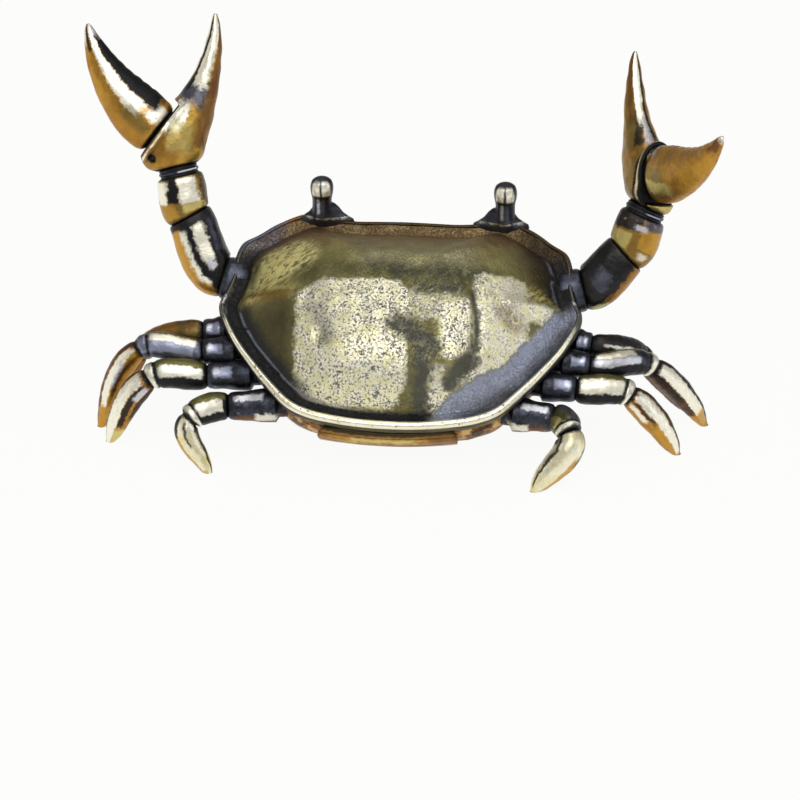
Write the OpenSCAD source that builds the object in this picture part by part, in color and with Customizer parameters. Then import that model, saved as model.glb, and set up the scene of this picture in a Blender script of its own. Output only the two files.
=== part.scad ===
// Crab figurine: a small cast ornament that stands on eight leg tips.
// Millimetres, +Z up, the crab looks along +Y, +X is its right side.
// The ground is z = 0 under the leg tips.

/* [Shell] */

// Width of the upper shell between its side corners
shell_w = 40; // [30:0.5:60]
// Length of the upper shell from front edge to rear edge
shell_l = 27; // [20:0.5:40]
// Height of the dome above the edge
dome_h = 5.6; // [3:0.1:9]
// Thickness of the shell's edge
edge_t = 1.3; // [0.8:0.1:2.5]
// Width of the raised rim along the edge
rim_w = 1.2; // [0.6:0.1:2.5]
// Height of the raised rim above the groove inside it
rim_h = 0.5; // [0.2:0.1:1]
// How far the front of the shell is lifted, in degrees
shell_tilt = 33; // [10:1:40]
// Height of the shell's middle above the ground
shell_z = 14; // [12:0.1:20]

/* [Underbody] */

// Depth of the underbody below the shell's edge
under_h = 6.6; // [4:0.1:9]
// How far the shell's edge stands out over the underbody
overhang = 0.5; // [0.4:0.1:2]
// Width of the tail plate at the rear edge
tail_w = 15.2; // [8:0.2:22]
// Thickness of the tail plate
tail_t = 0.9; // [0.5:0.1:1.5]
// How far the tail plate sits to the right of the middle
tail_x = -0.5; // [-2:0.1:2]

/* [Eyes] */

// How far the left and the right eye stand in from the shell's side corners
eye_in = [10.6, 9.1]; // [6:0.1:14]
// Diameter of the eye bulb
eye_d = 2.6; // [1.8:0.1:4]
// Height of the eye from its foot to its top
eye_h = 4.9; // [3:0.1:8]
// Width of the lip under the eye
lip_w = 5.6; // [3:0.1:8]

/* [Arms] */

// How far each shoulder seam stands in from the shell's side corner
shoulder_in = 0.1; // [-1:0.1:2]
// Height of the shoulder seam above the shell's middle
shoulder_up = 1.6; // [0:0.1:5]
// Thickness of the shoulder
shoulder_d = 4.3; // [3:0.1:6]
// Length of the left and the right upper arm
upper_arm_l = [7.8, 6.1]; // [5:0.1:12]
// Thickness of the upper arm
upper_arm_d = 5.4; // [3:0.1:7]
// Length of the forearm
forearm_l = 4.6; // [3:0.1:9]
// Thickness of the forearm
forearm_d = 5.4; // [3:0.1:8]
// Length of the wrist ring
wrist_l = 0.9; // [0.5:0.1:2]
// Thickness of the wrist ring
wrist_d = 4.4; // [2.5:0.1:6]
// Outward lean of the left upper arm and forearm, in degrees
left_lean = [31, 14]; // [0:1:70]
// Outward lean of the right upper arm and forearm, in degrees
right_lean = [47, 22]; // [0:1:70]
// Forward lean of the arms, in degrees
arm_forward = 18; // [0:1:40]

/* [Claws] */

// Length of the palm up to the root of the fixed finger
palm_l = 7.2; // [5:0.1:12]
// Width of the palm
palm_w = 6.6; // [5:0.1:10]
// Thickness of the palm
palm_t = 4.8; // [3:0.1:7]
// Length of the fixed finger beyond the palm
fixed_finger_l = 9.8; // [6:0.1:16]
// Length of the moving-side finger
finger_l = 14.2; // [8:0.1:20]
// Width of the finger at its root
finger_w = 6.3; // [4:0.1:9]
// Thickness of the finger at its root
finger_t = 4; // [2.5:0.1:6]
// Turn of the left finger out of the palm, in degrees
finger_turn_left = 36; // [0:1:60]
// Turn of the right finger out of the palm, in degrees
finger_turn_right = -4; // [-20:1:60]
// Inward bend of the left and the right finger along their length, in degrees
finger_bend = [41, 50]; // [10:1:70]
// Twist of the left claw about its own length, in degrees
claw_twist_left = 0; // [-60:1:60]
// Twist of the right claw about its own length, in degrees
claw_twist_right = 60; // [-60:1:60]
// Outward tilt of the left and the right claw's seat on its wrist, in degrees
claw_seat_lean = [15, 24]; // [0:1:35]
// Forward lean of the claws, in degrees
claw_forward = 22; // [0:1:40]

/* [Legs] */

// Thickness of the hips, front leg first
hip_d = [2.8, 2.8, 2.8, 3.1]; // [1.6:0.1:4]
// Thickness of the thighs at their widest, front leg first
thigh_d = [3, 3, 3.4, 3.3]; // [2:0.1:5]
// Thickness of a leg at its seams
seam_d = 2.1; // [1.4:0.1:3]
// Thickness of the left shins below the knee, front leg first
shin_d_left = [2.6, 2.7, 3.1, 2.6]; // [1.8:0.1:4]
// Thickness of the right shins below the knee, front leg first
shin_d_right = [2.6, 2.9, 3.1, 3.3]; // [1.8:0.1:4]
// Width of the flat on which each leg tip stands
tip_flat = 0.8; // [0.5:0.1:1.5]
// How far the left hips reach out past the shell, front leg first
hip_out_left = [2.2, 3.3, 4.6, 5]; // [0.5:0.1:7]
// How far the right hips reach out past the shell, front leg first
hip_out_right = [1.4, 2.7, 3.4, 4.2]; // [0.5:0.1:7]
// How far the left knees stand out past the shell's side corner, front leg first
knee_out_left = [9.1, 8.4, 7.1, 2.1]; // [-4:0.1:16]
// How far the right knees stand out past the shell's side corner, front leg first
knee_out_right = [6.9, 7.7, 5.3, -0.9]; // [-4:0.1:16]
// Height of the left knees, front leg first
knee_z_left = [7.3, 10, 7.9, 5.6]; // [3:0.1:14]
// Height of the right knees, front leg first
knee_z_right = [7.3, 8.4, 7.4, 6]; // [3:0.1:14]
// How far the left tips stand out past the shell's side corner, front leg first
tip_out_left = [12.6, 13.2, 11.7, 0]; // [-8:0.1:22]
// How far the right tips stand out past the shell's side corner, front leg first
tip_out_right = [11.3, 13.7, 10.7, -4.5]; // [-8:0.1:22]
// How far forward the left tips stand, front leg first
tip_y_left = [6, 0.6, -2.8, -8.9]; // [-20:0.1:20]
// How far forward the right tips stand, front leg first
tip_y_right = [10, 6.1, -0.8, -10.3]; // [-20:0.1:20]

/* [Tenons] */

// Diameter of the tenons that join the leg pieces
leg_pin_d = 1; // [0.6:0.1:1.4]
// Diameter of the tenons that join the arm pieces
arm_pin_d = 1.6; // [1:0.1:2.4]
// Length of a tenon
pin_l = 1.3; // [0.8:0.1:3]
// Clearance around a tenon, per side
pin_gap = 0.03; // [0.01:0.01:0.1]

/* [Hidden] */

// The middle of the ground under the figure lies at the row's origin
mid_shift = [1, -4.4, 0];
shell_at = [0, 0.048 * shell_l, shell_z];

brass = [0.72, 0.56, 0.3];
dark_brass = [0.35, 0.3, 0.2];
pale_brass = [0.85, 0.76, 0.5];

// Half of the shell's outline from front to rear, as shares of half the width and of the length
outline_half = [
    [0, 0.478],
    [0.15, 0.476],
    [0.3, 0.474],
    [0.44, 0.484],
    [0.56, 0.504],
    [0.7, 0.458],
    [0.81, 0.398],
    [0.9, 0.35],
    [0.935, 0.28],
    [0.94, 0.21],
    [0.965, 0.13],
    [1, 0.052],
    [0.97, -0.03],
    [0.9, -0.13],
    [0.8, -0.232],
    [0.7, -0.322],
    [0.59, -0.408],
    [0.47, -0.455],
    [0.32, -0.48],
    [0.16, -0.494],
    [0, -0.498]
];
outline_n = len(outline_half);
outline = concat(
    [for (p = outline_half) [-p.x, p.y]],
    [for (i = [outline_n - 2:-1:1]) outline_half[i]]
);

function unit(v) = v / norm(v);
function middle(r) = [for (q = r) 1] * r / len(r);
function power(v, e) = sign(v) * pow(abs(v), e);
function turn_x(v, a) = [v.x, v.y * cos(a) - v.z * sin(a), v.y * sin(a) + v.z * cos(a)];

// From the shell's own frame to the ground's frame
function placed(p) = shell_at + turn_x(p, shell_tilt);

// Half width of the shell at a distance y from its middle
function half_width(y) = shell_w / 2 * lookup(-y / shell_l, [
    for (i = [8:outline_n - 1]) [-outline_half[i].y, outline_half[i].x]
]);

// A ring of n points round c, square to the direction t
function ring(c, t, up, a, b, n, e) =
    let (s = unit(cross(up, t)), w = cross(t, s))
    [for (k = [0:n - 1]) let (q = 360 * (k + 0.5) / n)
        c + s * a * power(cos(q), e) + w * b * power(sin(q), e)];

// A smooth curve from p to q that leaves along tp and arrives along tq
function on_curve(p, q, tp, tq, t) =
    let (l = norm(q - p) / 3, a = p + tp * l, b = q - tq * l, u = 1 - t)
    p * u * u * u + a * 3 * u * u * t + b * 3 * u * t * t + q * t * t * t;
function on_slope(p, q, tp, tq, t) =
    let (l = norm(q - p) / 3, a = p + tp * l, b = q - tq * l, u = 1 - t)
    unit((a - p) * u * u + (b - a) * 2 * u * t + (q - b) * t * t);

// A closed solid through rings that all have the same number of points.
// A fan closes an end whose outline turns inwards, and one flat face closes the others.
module skin(rings, fan = false) {
    n = len(rings[0]);
    m = len(rings);
    sides = [
        for (i = [0:m - 2], k = [0:n - 1])
            let (a = i * n + k, b = i * n + (k + 1) % n, c = a + n, d = b + n)
                each [[a, c, b], [b, c, d]]
    ];
    flats = [[for (k = [0:n - 1]) k], [for (k = [n - 1:-1:0]) (m - 1) * n + k]];
    fans = [
        for (k = [0:n - 1])
            let (a = k, b = (k + 1) % n, c = a + (m - 1) * n, d = b + (m - 1) * n)
                each [[a, b, m * n], [d, c, m * n + 1]]
    ];
    points = [for (r = rings) each r];
    middles = [middle(rings[0]), middle(rings[m - 1])];
    polyhedron(fan ? concat(points, middles) : points, concat(sides, fan ? fans : flats));
}

// A limb piece: sizes are [place along the curve, half width, half thickness]
module limb(p, q, tp, tq, sizes, up, n = 12, e = 0.85) {
    skin([
        for (s = sizes)
            ring(on_curve(p, q, tp, tq, s[0]), on_slope(p, q, tp, tq, s[0]), up, s[1], s[2], n, e)
    ]);
}

// Stand a child drawn along +Z at p, along the direction d
module along(p, d) {
    translate(p)
        rotate([0, acos(d.z), atan2(d.y, d.x)])
            children();
}

module tenon(p, d, r) {
    along(p - d * 0.2, d)
        cylinder(r = r, h = pin_l + 0.2, $fn = 24);
}

module mortise(p, d, r) {
    along(p - d * 0.4, d)
        cylinder(r = r + pin_gap, h = pin_l + 0.4 + pin_gap, $fn = 24);
}

module in_shell_frame() {
    translate(shell_at)
        rotate([shell_tilt, 0, 0])
            children();
}

// Shell outline drawn in by d and set at height z, in the shell's own frame
function shell_ring(d, z) = [
    for (p = outline)
        [p.x * (shell_w / 2 - d), p.y * (shell_l - 2 * d), z]
];
// Ring at the share f of the outline, on the dome
function dome_ring(f) = [
    for (p = outline)
        [p.x * (shell_w / 2 - rim_w * 1.6) * f, p.y * (shell_l - rim_w * 3.2) * f,
            dome_h * (1 - pow(f, 3.2)) * (1 - 0.12 * (p.y * f + 0.5))]
];

// The underbody's wall: how far it is drawn in, and the depth below the shell's top edge
under_low = under_h + edge_t;
wall = [
    [0.035 * shell_w, edge_t],
    [0, edge_t + 0.25 * under_h],
    [0.0075 * shell_w, edge_t + 0.5 * under_h],
    [0.06 * shell_w, edge_t + 0.82 * under_h],
    [0.125 * shell_w, under_low]
];

// Shoulder: in the body, the seam towards the upper arm and its directions
up = [0, -0.9, 0.44];
function lean_dir(lean, forward) = unit([sin(lean), sin(forward) * cos(lean), cos(lean) * cos(forward)]);
function on_side(p, s) = [p.x * s, p.y, p.z];

function arm_lean(s) = s < 0 ? left_lean : right_lean;
function shoulder_dir(s) = on_side(unit([0.93, 0.1, 0.2]), s);
function shoulder_seam(s) = [s * (shell_w / 2 - shoulder_in), shell_at.y + 0.23 * shell_l, shell_z + shoulder_up];
function shoulder_root(s) = shoulder_seam(s) - shoulder_dir(s) * shoulder_d * 0.9;
function upper_arm_dir(s) = on_side(lean_dir(arm_lean(s)[0], arm_forward), s);
function elbow(s) = shoulder_seam(s) + upper_arm_dir(s) * upper_arm_l[s < 0 ? 0 : 1];
function forearm_dir(s) = on_side(lean_dir(arm_lean(s)[1], arm_forward), s);
function forearm_end(s) = elbow(s) + forearm_dir(s) * forearm_l;
function wrist_dir(s) = unit(forearm_dir(s) + claw_seat(s));
function claw_up(s) = on_side(lean_dir(0, claw_forward), s);
function claw_base(s) = forearm_end(s) + wrist_dir(s) * wrist_l;
function claw_seat(s) = on_side(lean_dir(claw_seat_lean[s < 0 ? 0 : 1], claw_forward), s);

// The claw is drawn in its own frame: +X towards the finger, +Y along the palm, +Z thickness
function finger_turn(s) = s < 0 ? finger_turn_left : finger_turn_right;
function claw_twist(s) = s < 0 ? claw_twist_left : claw_twist_right;

// From the claw's frame to the ground's frame
module in_claw_frame(s) {
    translate(claw_base(s))
        rotate([90 - claw_forward, 0, 0])
            rotate([0, -claw_twist(s) * s, 0])
                mirror([s < 0 ? 1 : 0, 0, 0])
                    children();
}

// Legs: side s is -1 for left and 1 for right, leg k is 0 for the front one
hip_share = [0, -0.11, -0.22, -0.355];
hip_drop = [for (d = [0.576, 0.455, 0.47, 0.47]) d * under_h];
function pick(s, left, right) = s < 0 ? left : right;
function hip_y(k) = hip_share[k] * shell_l;
function hip_seam(s, k) =
    let (out = pick(s, hip_out_left, hip_out_right)[k])
    placed([s * (half_width(hip_y(k)) + out), hip_y(k), -hip_drop[k]]);
function hip_root(s, k) =
    placed([s * (half_width(hip_y(k)) - 0.08 * shell_w), hip_y(k) + 0.0185 * shell_l, -hip_drop[k]]);
function hip_dir(s, k) = unit(hip_seam(s, k) - hip_root(s, k));
function tip(s, k) = [
    s * (shell_w / 2 + pick(s, tip_out_left, tip_out_right)[k]),
    pick(s, tip_y_left, tip_y_right)[k],
    0
];
function knee(s, k) =
    let (h = hip_seam(s, k), t = tip(s, k))
    [s * (shell_w / 2 + pick(s, knee_out_left, knee_out_right)[k]), h.y + (t.y - h.y) * 0.56,
        pick(s, knee_z_left, knee_z_right)[k]];
function knee_dir(s, k) = unit(unit(knee(s, k) - hip_seam(s, k)) + [0, 0, -0.7]);
function tip_dir(s, k) = unit(unit(tip(s, k) - knee(s, k)) + [0, 0, -0.5]);

module carapace_shape() {
    skin(concat(
        [
            shell_ring(rim_w * 2, -edge_t),
            shell_ring(rim_w * 0.2, -edge_t),
            shell_ring(0, -edge_t * 0.7),
            shell_ring(0, -edge_t * 0.25),
            shell_ring(rim_w * 0.3, rim_h * 0.8),
            shell_ring(rim_w * 0.75, rim_h),
            shell_ring(rim_w * 1.3, rim_h * 0.24)
        ],
        [for (f = [1, 0.965, 0.9, 0.8, 0.66, 0.5, 0.34, 0.18, 0.06]) dome_ring(f)]
    ), true);
}

module carapace() color(brass) translate(mid_shift) in_shell_frame() carapace_shape();

module under_shape() {
    skin([for (i = [len(wall) - 1:-1:0]) shell_ring(overhang + wall[i][0], -wall[i][1])], true);
}

tail_path = [
    [-0.5 * shell_l + overhang - 0.1 * tail_t, -edge_t - 0.1 * tail_t],
    [-0.5 * shell_l + overhang - 0.45 * tail_t, -edge_t - 0.2 * under_h],
    [-0.49 * shell_l + overhang, -edge_t - 0.48 * under_h],
    [-0.39 * shell_l + overhang, -edge_t - 0.88 * under_h],
    [-0.25 * shell_l, -under_low - 0.28 * tail_t],
    [-0.1 * shell_l, -under_low - 0.28 * tail_t],
    [0.06 * shell_l, -under_low - 0.22 * tail_t]
];
tail_share = [0.92, 1, 0.98, 0.8, 0.6, 0.42, 0.14];

module tail_shape() {
    m = len(tail_path);
    rings = [
        for (i = [0:m - 1])
            let (
                p = tail_path[i],
                d = tail_path[min(i + 1, m - 1)] - tail_path[max(i - 1, 0)],
                o = [d.y, -d.x] / norm(d) * tail_t,
                w = tail_w / 2 * tail_share[i]
            )
                [
                    [w, p.x - o.x, p.y - o.y],
                    [w, p.x + o.x * 0.1, p.y + o.y * 0.1],
                    [w * 0.6, p.x + o.x * 0.4, p.y + o.y * 0.4],
                    [0, p.x + o.x * 0.5, p.y + o.y * 0.5],
                    [-w * 0.6, p.x + o.x * 0.4, p.y + o.y * 0.4],
                    [-w, p.x + o.x * 0.1, p.y + o.y * 0.1],
                    [-w, p.x - o.x, p.y - o.y]
                ]
    ];
    in_shell_frame() translate([tail_x, 0, 0]) skin(rings);
}

module underbody() color(dark_brass) translate(mid_shift) difference() {
    in_shell_frame() under_shape();
    tail_shape();
    for (s = [-1, 1]) {
        along(shoulder_root(s), shoulder_dir(s))
            cylinder(d = shoulder_d * 0.8, h = shoulder_d, $fn = 32);
        along(shoulder_seam(s) - shoulder_dir(s) * 2.2, shoulder_dir(s))
            cylinder(d = shoulder_d * 1.2, h = shoulder_d, $fn = 32);
        for (k = [0:3]) {
            along(hip_root(s, k), hip_dir(s, k))
                cylinder(d = hip_d[k] * 0.85, h = 0.2 * shell_w, $fn = 24);
        }
    }
}

module tail_plate() color(brass) translate(mid_shift) tail_shape();

module eye_lip() {
    z = [0, 0, 1];
    skin([
        ring([0, 0, -0.6], z, [0, 1, 0], lip_w / 2, eye_d * 0.3, 16, 1),
        ring([0, 0, 0.05], z, [0, 1, 0], lip_w / 2, eye_d * 0.34, 16, 1),
        ring([0, 0, 0.5], z, [0, 1, 0], lip_w * 0.36, eye_d * 0.4, 16, 1),
        ring([0, 0, 1.4], z, [0, 1, 0], eye_d * 0.46, eye_d * 0.42, 16, 1)
    ]);
}

function eye_foot(s) = placed([s * (shell_w / 2 - eye_in[s < 0 ? 0 : 1]), 0.478 * shell_l, 0.1]);

// An eye: a stalk with a domed bulb on a lip that is cut to sit on the shell
module eye(s) {
    translate(mid_shift) difference() {
        translate(eye_foot(s)) {
            eye_lip();
            rotate_extrude($fn = 32)
                polygon([
                    [0, -0.4],
                    [eye_d * 0.4, -0.4],
                    [eye_d * 0.46, 0.5],
                    [eye_d * 0.42, eye_h * 0.3],
                    [eye_d * 0.42, eye_h * 0.5],
                    [eye_d * 0.5, eye_h * 0.62],
                    [eye_d * 0.5, eye_h * 0.8],
                    [eye_d * 0.38, eye_h * 0.94],
                    [eye_d * 0.2, eye_h * 0.99],
                    [0, eye_h]
                ]);
        }
        in_shell_frame() carapace_shape();
    }
}

module eye_left() color(pale_brass) eye(-1);
module eye_right() color(pale_brass) eye(1);

module shoulder(s) {
    translate(mid_shift) difference() {
        union() {
            limb(shoulder_seam(s) - shoulder_dir(s) * 2.2, shoulder_seam(s), shoulder_dir(s), shoulder_dir(s), [
                [0, shoulder_d * 0.42, shoulder_d * 0.42],
                [0.3, shoulder_d * 0.54, shoulder_d * 0.54],
                [0.75, shoulder_d * 0.57, shoulder_d * 0.57],
                [1, shoulder_d * 0.54, shoulder_d * 0.53]
            ], up);
            along(shoulder_root(s), shoulder_dir(s))
                cylinder(d = shoulder_d * 0.8, h = shoulder_d * 0.8, $fn = 32);
        }
        mortise(shoulder_seam(s), -shoulder_dir(s), arm_pin_d / 2);
        in_shell_frame() carapace_shape();
    }
}

module upper_arm(s) {
    r = upper_arm_d / 2;
    translate(mid_shift) difference() {
        union() {
            limb(shoulder_seam(s), elbow(s), shoulder_dir(s), upper_arm_dir(s), [
                [0, r * 0.86, r * 0.84],
                [0.1, r * 0.94, r * 0.92],
                [0.35, r, r * 0.96],
                [0.65, r * 0.98, r * 0.91],
                [0.88, r * 0.96, r * 0.88],
                [1, r * 0.88, r * 0.81]
            ], up);
            tenon(shoulder_seam(s), -shoulder_dir(s), arm_pin_d / 2);
        }
        mortise(elbow(s), -upper_arm_dir(s), arm_pin_d / 2);
    }
}

module forearm(s) {
    r = forearm_d / 2;
    translate(mid_shift) difference() {
        union() {
            limb(elbow(s), forearm_end(s), upper_arm_dir(s), wrist_dir(s), [
                [0, r * 0.86, r * 0.8],
                [0.12, r * 0.94, r * 0.87],
                [0.45, r, r * 0.91],
                [0.78, r * 0.98, r * 0.88],
                [0.93, r * 0.93, r * 0.84],
                [1, r * 0.84, r * 0.77]
            ], up);
            tenon(elbow(s), -upper_arm_dir(s), arm_pin_d / 2);
        }
        mortise(forearm_end(s), -wrist_dir(s), arm_pin_d / 2);
    }
}

module wrist(s) {
    r = wrist_d / 2;
    translate(mid_shift) union() {
        limb(forearm_end(s), claw_base(s), wrist_dir(s), claw_seat(s), [
            [0, r * 0.94, r * 0.88],
            [0.25, r, r * 0.93],
            [0.75, r, r * 0.92],
            [1, r * 0.94, r * 0.86]
        ], up);
        tenon(forearm_end(s), -wrist_dir(s), arm_pin_d / 2);
        tenon(claw_base(s), claw_seat(s), arm_pin_d / 2);
    }
}

// The palm and its fixed finger, in the claw's frame
finger_root = [0.318 * palm_w, 0.542 * palm_l, 0];
function finger_dir(s) = [cos(finger_turn(s)), sin(finger_turn(s)), 0];

module palm_shape(s) {
    lean = tan(claw_seat_lean[s < 0 ? 0 : 1]) * [cos(claw_twist(s)), 0, -sin(claw_twist(s))];
    w = palm_w / 2;
    t = palm_t / 2;
    l = palm_l;
    f = fixed_finger_l;
    z = [0, 0, 1];
    skin([
        ring([w * 0.03, 0, 0], [0, 1, 0] + lean, z, w * 0.7, t * 0.7, 16, 0.9),
        ring([w * 0.15, l * 0.08, 0], [0, 1, 0] + lean * 0.75, z, w * 0.94, t * 0.86, 16, 0.9),
        ring([w * 0.18, l * 0.25, 0], [0.05, 1, 0] + lean * 0.15, z, w * 1.08, t, 16, 0.9),
        ring([w * 0.03, l * 0.5, 0], [-0.05, 1, 0], z, w * 1.02, t, 16, 0.9),
        ring([w * -0.288, l * 0.78, 0], [-0.15, 1, 0], z, w * 0.86, t * 0.92, 16, 0.95),
        ring([w * -0.56, l * 1.02, 0], [-0.2, 1, 0], z, w * 0.66, t * 0.78, 16, 1),
        ring([w * -0.818, l + f * 0.22, 0], [-0.2, 1, 0], z, w * 0.5, t * 0.64, 16, 1.1),
        ring([-w, l + f * 0.45, 0], [-0.15, 1, 0], z, w * 0.38, t * 0.52, 16, 1.15),
        ring([w * -1.106, l + f * 0.68, 0], [-0.08, 1, 0], z, w * 0.27, t * 0.38, 16, 1.15),
        ring([w * -1.152, l + f * 0.88, 0], [0, 1, 0], z, w * 0.16, t * 0.24, 16, 1.1),
        ring([w * -1.136, l + f, 0], [0.05, 1, 0], z, w * 0.06, t * 0.08, 16, 1)
    ]);
}

module finger_shape(s) {
    d = finger_dir(s);
    bend = finger_turn(s) + finger_bend[s < 0 ? 0 : 1];
    e = [cos(bend), sin(bend), 0];
    w = finger_w / 2;
    t = finger_t / 2;
    q = finger_root + unit(d * 1.2 + e) * finger_l;
    union() {
        limb(finger_root, q, d, e, [
            [0, w * 0.86, t * 0.86],
            [0.06, w * 0.98, t],
            [0.18, w, t],
            [0.36, w * 0.88, t * 0.9],
            [0.55, w * 0.68, t * 0.74],
            [0.74, w * 0.46, t * 0.52],
            [0.9, w * 0.25, t * 0.3],
            [1, w * 0.08, t * 0.1]
        ], [0, 0, 1], 14, 1);
        tenon(finger_root, -d, arm_pin_d / 2);
    }
}

module palm(s) {
    d = finger_dir(s);
    translate(mid_shift) difference() {
        in_claw_frame(s) difference() {
            palm_shape(s);
            translate(finger_root)
                rotate([0, 0, finger_turn(s)])
                    translate([0, -finger_w * 0.54, -palm_t])
                        cube([finger_w * 2, finger_w * 1.15, palm_t * 2]);
            mortise(finger_root, -d, arm_pin_d / 2);
            translate([0.4 * palm_w, 0.13 * palm_l, palm_t * 0.28])
                cylinder(d = 0.1 * palm_w, h = palm_t, $fn = 20);
        }
        mortise(claw_base(s), claw_seat(s), arm_pin_d / 2);
    }
}

module finger(s) {
    translate(mid_shift) in_claw_frame(s) finger_shape(s);
}

module shoulder_left() color(dark_brass) shoulder(-1);
module shoulder_right() color(dark_brass) shoulder(1);
module upper_arm_left() color(brass) upper_arm(-1);
module upper_arm_right() color(brass) upper_arm(1);
module forearm_left() color(brass) forearm(-1);
module forearm_right() color(brass) forearm(1);
module wrist_left() color(dark_brass) wrist(-1);
module wrist_right() color(dark_brass) wrist(1);
module palm_left() color(pale_brass) palm(-1);
module palm_right() color(pale_brass) palm(1);
module finger_left() color(brass) finger(-1);
module finger_right() color(brass) finger(1);

// One leg piece each: hip in the underbody, thigh, and shin down to the ground
module hip(s, k) {
    r = hip_d[k] / 2;
    d = hip_dir(s, k);
    q = hip_seam(s, k);
    l = norm(q - hip_root(s, k));
    out = pick(s, hip_out_left, hip_out_right)[k];
    translate(mid_shift) difference() {
        union() {
            limb(q - d * min(out - 0.5, 3.2), q, d, d, [
                [0, r * 0.96, r * 0.96],
                [0.3, r * 1.02, r * 1.02],
                [0.8, r, r],
                [1, r * 0.86, r * 0.82]
            ], up);
            along(hip_root(s, k) + d * 0.4, d)
                cylinder(d = hip_d[k] * 0.85, h = l - 1.2, $fn = 24);
        }
        mortise(q, -d, leg_pin_d / 2);
    }
}

module thigh(s, k) {
    r = thigh_d[k] / 2;
    p = hip_seam(s, k);
    q = knee(s, k);
    tp = hip_dir(s, k);
    tq = knee_dir(s, k);
    translate(mid_shift) difference() {
        union() {
            limb(p, q, tp, tq, [
                [0, r * 0.78, r * 0.7],
                [0.1, r * 0.92, r * 0.82],
                [0.35, r, r * 0.9],
                [0.68, r * 0.98, r * 0.86],
                [0.86, r * 0.84, r * 0.76],
                [0.9, r * 0.9, r * 0.82],
                [0.96, r * 0.88, r * 0.8],
                [1, seam_d * 0.56, seam_d * 0.52]
            ], up, 12, 1);
            tenon(p, -tp, leg_pin_d / 2);
        }
        mortise(q, -tq, leg_pin_d / 2);
    }
}

module shin(s, k) {
    r = pick(s, shin_d_left, shin_d_right)[k] / 2;
    p = knee(s, k);
    q = tip(s, k);
    tp = knee_dir(s, k);
    tq = tip_dir(s, k);
    translate(mid_shift) difference() {
        union() {
            limb(p, q + tq * 0.5, tp, tq, [
                [0, seam_d * 0.54, seam_d * 0.5],
                [0.06, r * 0.86, r * 0.8],
                [0.24, r, r * 0.9],
                [0.4, r * 0.98, r * 0.84],
                [0.62, r * 0.84, r * 0.7],
                [0.82, r * 0.6, r * 0.5],
                [0.94, tip_flat * 0.56, tip_flat * 0.5],
                [1, tip_flat * 0.4, tip_flat * 0.35]
            ], up, 12, 1.1);
            tenon(p, -tp, leg_pin_d / 2);
        }
        translate([q.x - 5, q.y - 5, -5])
            cube([10, 10, 5]);
    }
}

module hip_left_1() color(brass) hip(-1, 0);
module hip_left_2() color(brass) hip(-1, 1);
module hip_left_3() color(brass) hip(-1, 2);
module hip_left_4() color(brass) hip(-1, 3);
module hip_right_1() color(brass) hip(1, 0);
module hip_right_2() color(brass) hip(1, 1);
module hip_right_3() color(brass) hip(1, 2);
module hip_right_4() color(brass) hip(1, 3);
module thigh_left_1() color(pale_brass) thigh(-1, 0);
module thigh_left_2() color(pale_brass) thigh(-1, 1);
module thigh_left_3() color(pale_brass) thigh(-1, 2);
module thigh_left_4() color(pale_brass) thigh(-1, 3);
module thigh_right_1() color(pale_brass) thigh(1, 0);
module thigh_right_2() color(pale_brass) thigh(1, 1);
module thigh_right_3() color(pale_brass) thigh(1, 2);
module thigh_right_4() color(pale_brass) thigh(1, 3);
module shin_left_1() color(brass) shin(-1, 0);
module shin_left_2() color(brass) shin(-1, 1);
module shin_left_3() color(brass) shin(-1, 2);
module shin_left_4() color(brass) shin(-1, 3);
module shin_right_1() color(brass) shin(1, 0);
module shin_right_2() color(brass) shin(1, 1);
module shin_right_3() color(brass) shin(1, 2);
module shin_right_4() color(brass) shin(1, 3);

carapace();
underbody();
tail_plate();
eye_left();
eye_right();
shoulder_left();
upper_arm_left();
forearm_left();
wrist_left();
palm_left();
finger_left();
shoulder_right();
upper_arm_right();
forearm_right();
wrist_right();
palm_right();
finger_right();
hip_left_1();
hip_left_2();
hip_left_3();
hip_left_4();
hip_right_1();
hip_right_2();
hip_right_3();
hip_right_4();
thigh_left_1();
thigh_left_2();
thigh_left_3();
thigh_left_4();
thigh_right_1();
thigh_right_2();
thigh_right_3();
thigh_right_4();
shin_left_1();
shin_left_2();
shin_left_3();
shin_left_4();
shin_right_1();
shin_right_2();
shin_right_3();
shin_right_4();
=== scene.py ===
"""Looks of the small cast crab: every cast piece is remodelled in fine mesh over its CAD solid,
with worn and darkened metal, painted highlights and painted shade, soft studio light and a pale
floor. Lengths are in millimetres until a mesh is made."""

import math

import bpy
import numpy as np
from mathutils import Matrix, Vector


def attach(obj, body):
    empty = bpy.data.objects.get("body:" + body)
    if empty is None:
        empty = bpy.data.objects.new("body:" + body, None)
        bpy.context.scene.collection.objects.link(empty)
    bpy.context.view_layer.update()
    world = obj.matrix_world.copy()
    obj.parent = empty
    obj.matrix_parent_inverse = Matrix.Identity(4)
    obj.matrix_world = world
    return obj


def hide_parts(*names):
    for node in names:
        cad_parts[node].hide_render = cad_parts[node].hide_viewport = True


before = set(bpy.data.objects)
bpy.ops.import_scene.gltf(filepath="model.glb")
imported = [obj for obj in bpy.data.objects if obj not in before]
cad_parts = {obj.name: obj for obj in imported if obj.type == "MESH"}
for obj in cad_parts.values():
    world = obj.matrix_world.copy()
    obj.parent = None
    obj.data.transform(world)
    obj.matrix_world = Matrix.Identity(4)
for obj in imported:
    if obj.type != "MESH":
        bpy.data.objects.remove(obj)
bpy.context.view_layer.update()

LEFT, RIGHT = -1, 1
SIDE_NAME = {LEFT: "left", RIGHT: "right"}


# Sizes of the crab, the same as in the part's source

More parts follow.
